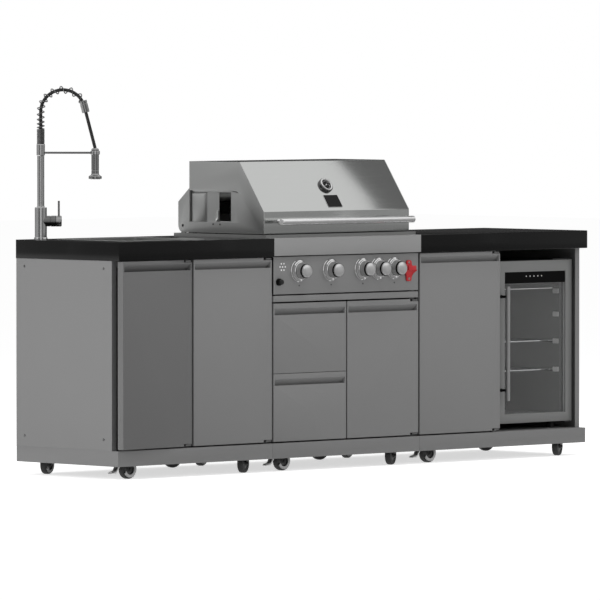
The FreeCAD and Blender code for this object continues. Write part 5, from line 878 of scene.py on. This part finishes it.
combine(hood, "DIFFERENCE", drawn("inner", [at(810, y, z) for y, z in inner], Vector((0.81, 0, 0))))
for x in (815, 1600):
    combine(hood, "DIFFERENCE", block("ear", at(x, 521, 905), at(x + 15, 541, 962)))
fit(smooth(hood, 25), hood_steel, "hood", "hood", slot="steel")
ROUND = [(505 + 25.9 * math.cos(a), 942 - 25.9 * math.sin(a)) for a in
         (math.radians(step) for step in range(0, 91, 15))]
for side, face, inward in (("left", 818, 1), ("right", 1612, -1)):
    end = drawn(f"hood_end_{side}", [at(face, y, z) for y, z in SECTION[:6] + ROUND],
                Vector((0.002 * inward, 0, 0)))
    low, high = sorted((face + 1.2 * inward, face + 15 * inward))
    combine(end, "UNION", block("cup", at(low, 184, 956), at(high, 469, 1082)))
    pocket = [(-2, 180.5), (13, 222), (13, 467), (-2, 467)]
    hollow = drawn("hollow", [at(face + x * inward, y, 958) for x, y in pocket],
        Vector((0, 0, 0.122)))
    round_edges(hollow, lambda a, b: (a.y + b.y) / 2 < -0.03 and min(a.z, b.z) > 1.07, 0.012, 4)
    combine(end, "DIFFERENCE", hollow)
    low, high = sorted((face - 2 * inward, face + 17 * inward))
    combine(end, "DIFFERENCE", block("slot", at(low, 248, 962), at(high, 313, 1074)))
    ease(end, 0.0012, 2, 35)
    fit(smooth(end, 35), end_steel, "hood", "hood", slot="steel")
    bulge, bulge_radius = 0.0122, 0.0415
    bpy.ops.mesh.primitive_cylinder_add(vertices=64, radius=bulge_radius, depth=0.118,
        location=(0, 0, 0))
    cover = bpy.context.object
    cover.scale = (bulge / bulge_radius, 1, 1)
    cover.location = at(face + 13 * inward, 423.5, 1017)
    settle(cover, f"hood_cover_{side}")
    for x, z, way in ((13, 1074, (-inward, 0, 0.62)), (14.8, 1000, (inward, 0, 0))):
        sliced(cover, at(face + x * inward, 423.5, z), way, use_fill=True, clear_outer=True)
    ease(cover, 0.0008, 2, 50)
    fit(smooth(cover, 40), end_steel, "hood", "hood", slot="steel")
    low, high = sorted((face + 9 * inward, face + 11 * inward))
    flap = block(f"hood_slot_shield_{side}", at(low, 314, 960), at(high, 330, 1004), 0.0008, 2)
    fit(smooth(flap), hood_steel, "hood", slot="steel")
    for i, y in enumerate((296, 334), 1):
        pan_screw(f"hood_screw_{side}_{i}", at(face, y, 950), (-inward, 0, 0), screw_dark, "hood",
            3.2, 1.6)

# Hood handle: a polished tube with closed ends on two posts that stand off the front.
handle = lathe("hood_handle_tube", [(0, 0), (11.4, 0), (13, 1.4), (13, 4), (12.4, 4.6), (12.4, 5.6),
    (13, 6.2), (13, 715.8), (12.4, 716.4), (12.4, 717.4), (13, 718), (13, 720.6), (11.4, 722),
    (0, 722)], at(854, -9, 963), (1, 0, 0), 48)
for x in (900, 1530):
    join(handle, lathe("post", [(0, 0), (7.4, 0), (7.4, 52), (9, 54), (11.5, 61), (0, 61)],
        at(x, -9, 963), (0, 1, 0), 32))
handle_steel = finish("handle_steel", tone(226), metal=1.0, Roughness=0.2, Drift=0.03,
    Grain_Scale=(2, 900, 900), Grain_Tone=0.05, Rough_Swing=0.05)
fit(smooth(handle), handle_steel, "hood", "hood_handle", slot="chrome")

# Temperature gauge: a chromed bezel round a dark dial with plain ticks and a pale needle, over
# a small bare plate with a rounded rim, both fixed square to the slope.
SLOPE = Matrix.Translation(at(1215, 52, 1002)) @ Matrix.Rotation(math.atan2(191, 135), 4, "X")
dial_black = finish("dial_black", tone(22), Roughness=0.3, Drift=0.1, Specular_IOR_Level=0.12)
needle_grey = finish("needle_grey", tone(170), Roughness=0.5, Drift=0.04)


def on_slope(piece):
    """Lay a piece that was made flat on the hood's slope."""
    piece.data.transform(SLOPE)
    return piece


dial_up = Vector((0, 0.115, 0))
# The bezel's deep chrome tone is painted shade for its darker reflections.
gauge = on_slope(lathe("gauge_bezel", [(22, 0), (31, 0), (31, 7), (30, 10.2), (28, 12), (22, 12)],
    dial_up, steps=64, closed=True))
fit(smooth(gauge, 50), chrome_deep_painted_shade, "hood", "temperature_gauge", slot="chrome")
rim = on_slope(lathe("gauge_rim", [(20, 7.8), (20.2, 10.4), (21.6, 13), (24, 14.2), (26.6, 13.6),
    (28.4, 11.6), (28.4, 7.8)], dial_up, steps=64, closed=True))
fit(smooth(rim, 50), bright, "hood", "temperature_gauge", slot="chrome")
dial = on_slope(lathe("gauge_dial", [(0, 0), (20.6, 0), (20.6, 8), (0, 8)], dial_up, steps=48))
fit(smooth(dial), dial_black, "hood", "temperature_gauge", slot="chrome")
ticks = []
for i in range(11):
    tick = block(f"gauge_tick_{i}", Vector((-0.0005, 0.0145, 0.008)),
        Vector((0.0005, 0.0185, 0.0083)))
    swing = Matrix.Rotation(math.radians(135 - 27 * i), 4, "Z")
    tick.data.transform(Matrix.Translation(dial_up) @ swing)
    ticks.append(tick)
marks = on_slope(join(ticks[0], *ticks[1:]))
marks.name = "gauge_ticks"
fit(marks, white_print, "hood", slot="chrome")
needle = drawn("gauge_needle", [Vector((x, y, 0.0086)) for x, y in (
    (-0.0011, -0.004), (0.0011, -0.004), (0.0004, 0.014), (-0.0004, 0.014))],
    Vector((0, 0, 0.0006)))
join(needle, lathe("boss", [(0, 7.9), (3.4, 7.9), (3.4, 10), (2.6, 10.8), (0, 10.8)],
    Vector((0, 0, 0)), steps=20))
needle.data.transform(Matrix.Translation(dial_up) @ Matrix.Rotation(math.radians(118), 4, "Z"))
fit(smooth(on_slope(needle)), needle_grey, "hood", slot="chrome")
plate = upright_rounded("bare_plate", Vector((-0.038, 0.014, 0)), Vector((0.040, 0.072, 0.0016)),
    0.004, 4)
fit(smooth(on_slope(ease(plate, 0.0004, 1, 50))), bright, "hood", "temperature_gauge",
    slot="chrome")
field = upright_rounded("bare_plate_field", Vector((-0.0368, 0.0152, 0.0014)),
    Vector((0.0388, 0.0708, 0.002)), 0.003, 4)
fit(smooth(on_slope(field)), dial_black, "hood", "temperature_gauge", slot="chrome")

# Fridge: a dark insulated cabinet with a grey liner, its light strip and lenses, behind a satin
# steel frame with a seal, a pale gasket round the pane whose pale tone is painted light against the
# frame's shade, a black band of plain lit dots and a tube handle on black posts.
dark_coat = finish("dark_coat", tone(34), Roughness=0.5)
dress(dark_coat, "fridge_cabinet")
frame_steel = finish("frame_steel", tone(135, 0.99, 1.0, 0.99), metal=0.35, Roughness=0.42,
    Drift=0.05, Grain_Scale=(3, 700, 700), Grain_Tone=0.04, Rough_Swing=0.1)
leaf = block("fridge_frame", at(2115, 50, 138), at(2536, 84, 784))
combine(leaf, "DIFFERENCE", block("opening", at(2151, 40, 173), at(2500, 90, 740)),
        block("rabbet", at(2143, 60, 165), at(2508, 90, 748)))
ease(leaf, 0.0012, 2)
fit(smooth(leaf), frame_steel, "fridge_leaf", "fridge_door", slot="steel")
seal = hollowed("fridge_seal", at(2122, 84, 145), at(2529, 87.5, 777), at(2138, 80, 161),
                at(2513, 95, 761))
ease(seal, 0.001, 2)
fit(smooth(seal), rubber, "fridge_leaf", slot="rubber")
grip = lathe("fridge_handle_tube", [(0, 0), (7, 0), (8, 1.2), (8, 452.8), (7, 454), (0, 454)],
             at(2130, 11, 231), steps=36)
grip_steel = finish("grip_steel", tone(158), metal=0.6, Roughness=0.35, Drift=0.05)
fit(smooth(grip), grip_steel, "fridge_leaf", "fridge_door", slot="steel")
# The gasket's pale tone is painted light: it lifts the shade that the frame casts on it.
gasket_painted_light_grey = finish("gasket_painted_light_grey", tone(175, 0.98, 1.0, 0.99), Roughness=0.5, Drift=0.04)
gasket = hollowed("fridge_gasket", at(2151.2, 57, 173.2), at(2499.8, 86, 694),
    at(2151.9, 50, 173.9), at(2499.1, 90, 693.3))
fit(ease(gasket, 0.0002, 1), gasket_painted_light_grey, "fridge_leaf", slot="dark_metal")
for name, z in (("low", 272), ("high", 644)):
    post = lathe("fridge_post_" + name, [(0, 0), (5.4, 0), (5.4, 33), (7, 35), (7, 39.5),
        (0, 39.5)], at(2130, 11, z), (0, 1, 0), 24)
    fit(smooth(post), black_gloss, "fridge_leaf", "fridge_door", slot="steel")
band = block("fridge_band", at(2143.5, 54, 694), at(2507.5, 59.6, 740), 0.0004, 1)
band_black = finish("band_black", tone(9), Roughness=0.3, Drift=0.1, Specular_IOR_Level=0.1)
fit(band, band_black, "fridge_leaf", slot="dark_plastic")
for i, x in enumerate((2278, 2300, 2322, 2344, 2366)):
    dot = lathe(f"fridge_band_dot_{i + 1}", [(0, 0), (2.6, 0), (2.2, 0.5), (0, 0.5)],
                at(x, 54, 722), front_way, 16)
    fit(dot, white_print, "fridge_leaf", slot="dark_plastic")
glass = bpy.data.materials.new("fridge_pane")
t, out = tree(glass)
pane = node(t, "ShaderNodeBsdfPrincipled", Roughness=0.03, IOR=1.45)
pane.inputs["Transmission Weight"].default_value = 1.0
pane.inputs["Base Color"].default_value = tone(215)
t.links.new(pane.outputs[0], out.inputs[0])
dress(glass, "fridge_glass")
liner_grey = finish("liner_grey", tone(158, 0.98, 1.0, 0.99), Roughness=0.45, Drift=0.04)
liner = hollowed("fridge_liner", at(2145.4, 89, 167.4), at(2505.6, 399, 691.6),
    at(2146.4, 80, 168.4), at(2504.6, 398, 690.6))
ease(liner, 0.0003, 1)
fit(smooth(liner), liner_grey, "island", slot="dark_metal")
lens_glow = finish("frosted_lens", tone(250), Roughness=0.35, Drift=0.03)
for i, z in enumerate((657, 564, 456, 343), 1):
    lens = block(f"fridge_lens_{i}", at(2498.4, 92, z - 10), at(2504.4, 124, z + 10), 0.0028, 3)
    fit(smooth(lens), lens_glow, "island", slot="dark_plastic")
strip = block("fridge_light_strip", at(2150, 96, 668), at(2470, 104, 672), 0.0012, 2)
fit(smooth(strip), lens_glow, "island", slot="dark_plastic")
cover = block("fridge_hinge_cover", at(2430, 60, 785.4), at(2534, 92, 790), 0.0015, 2)
fit(smooth(cover), black_gloss, "island", slot="dark_plastic")
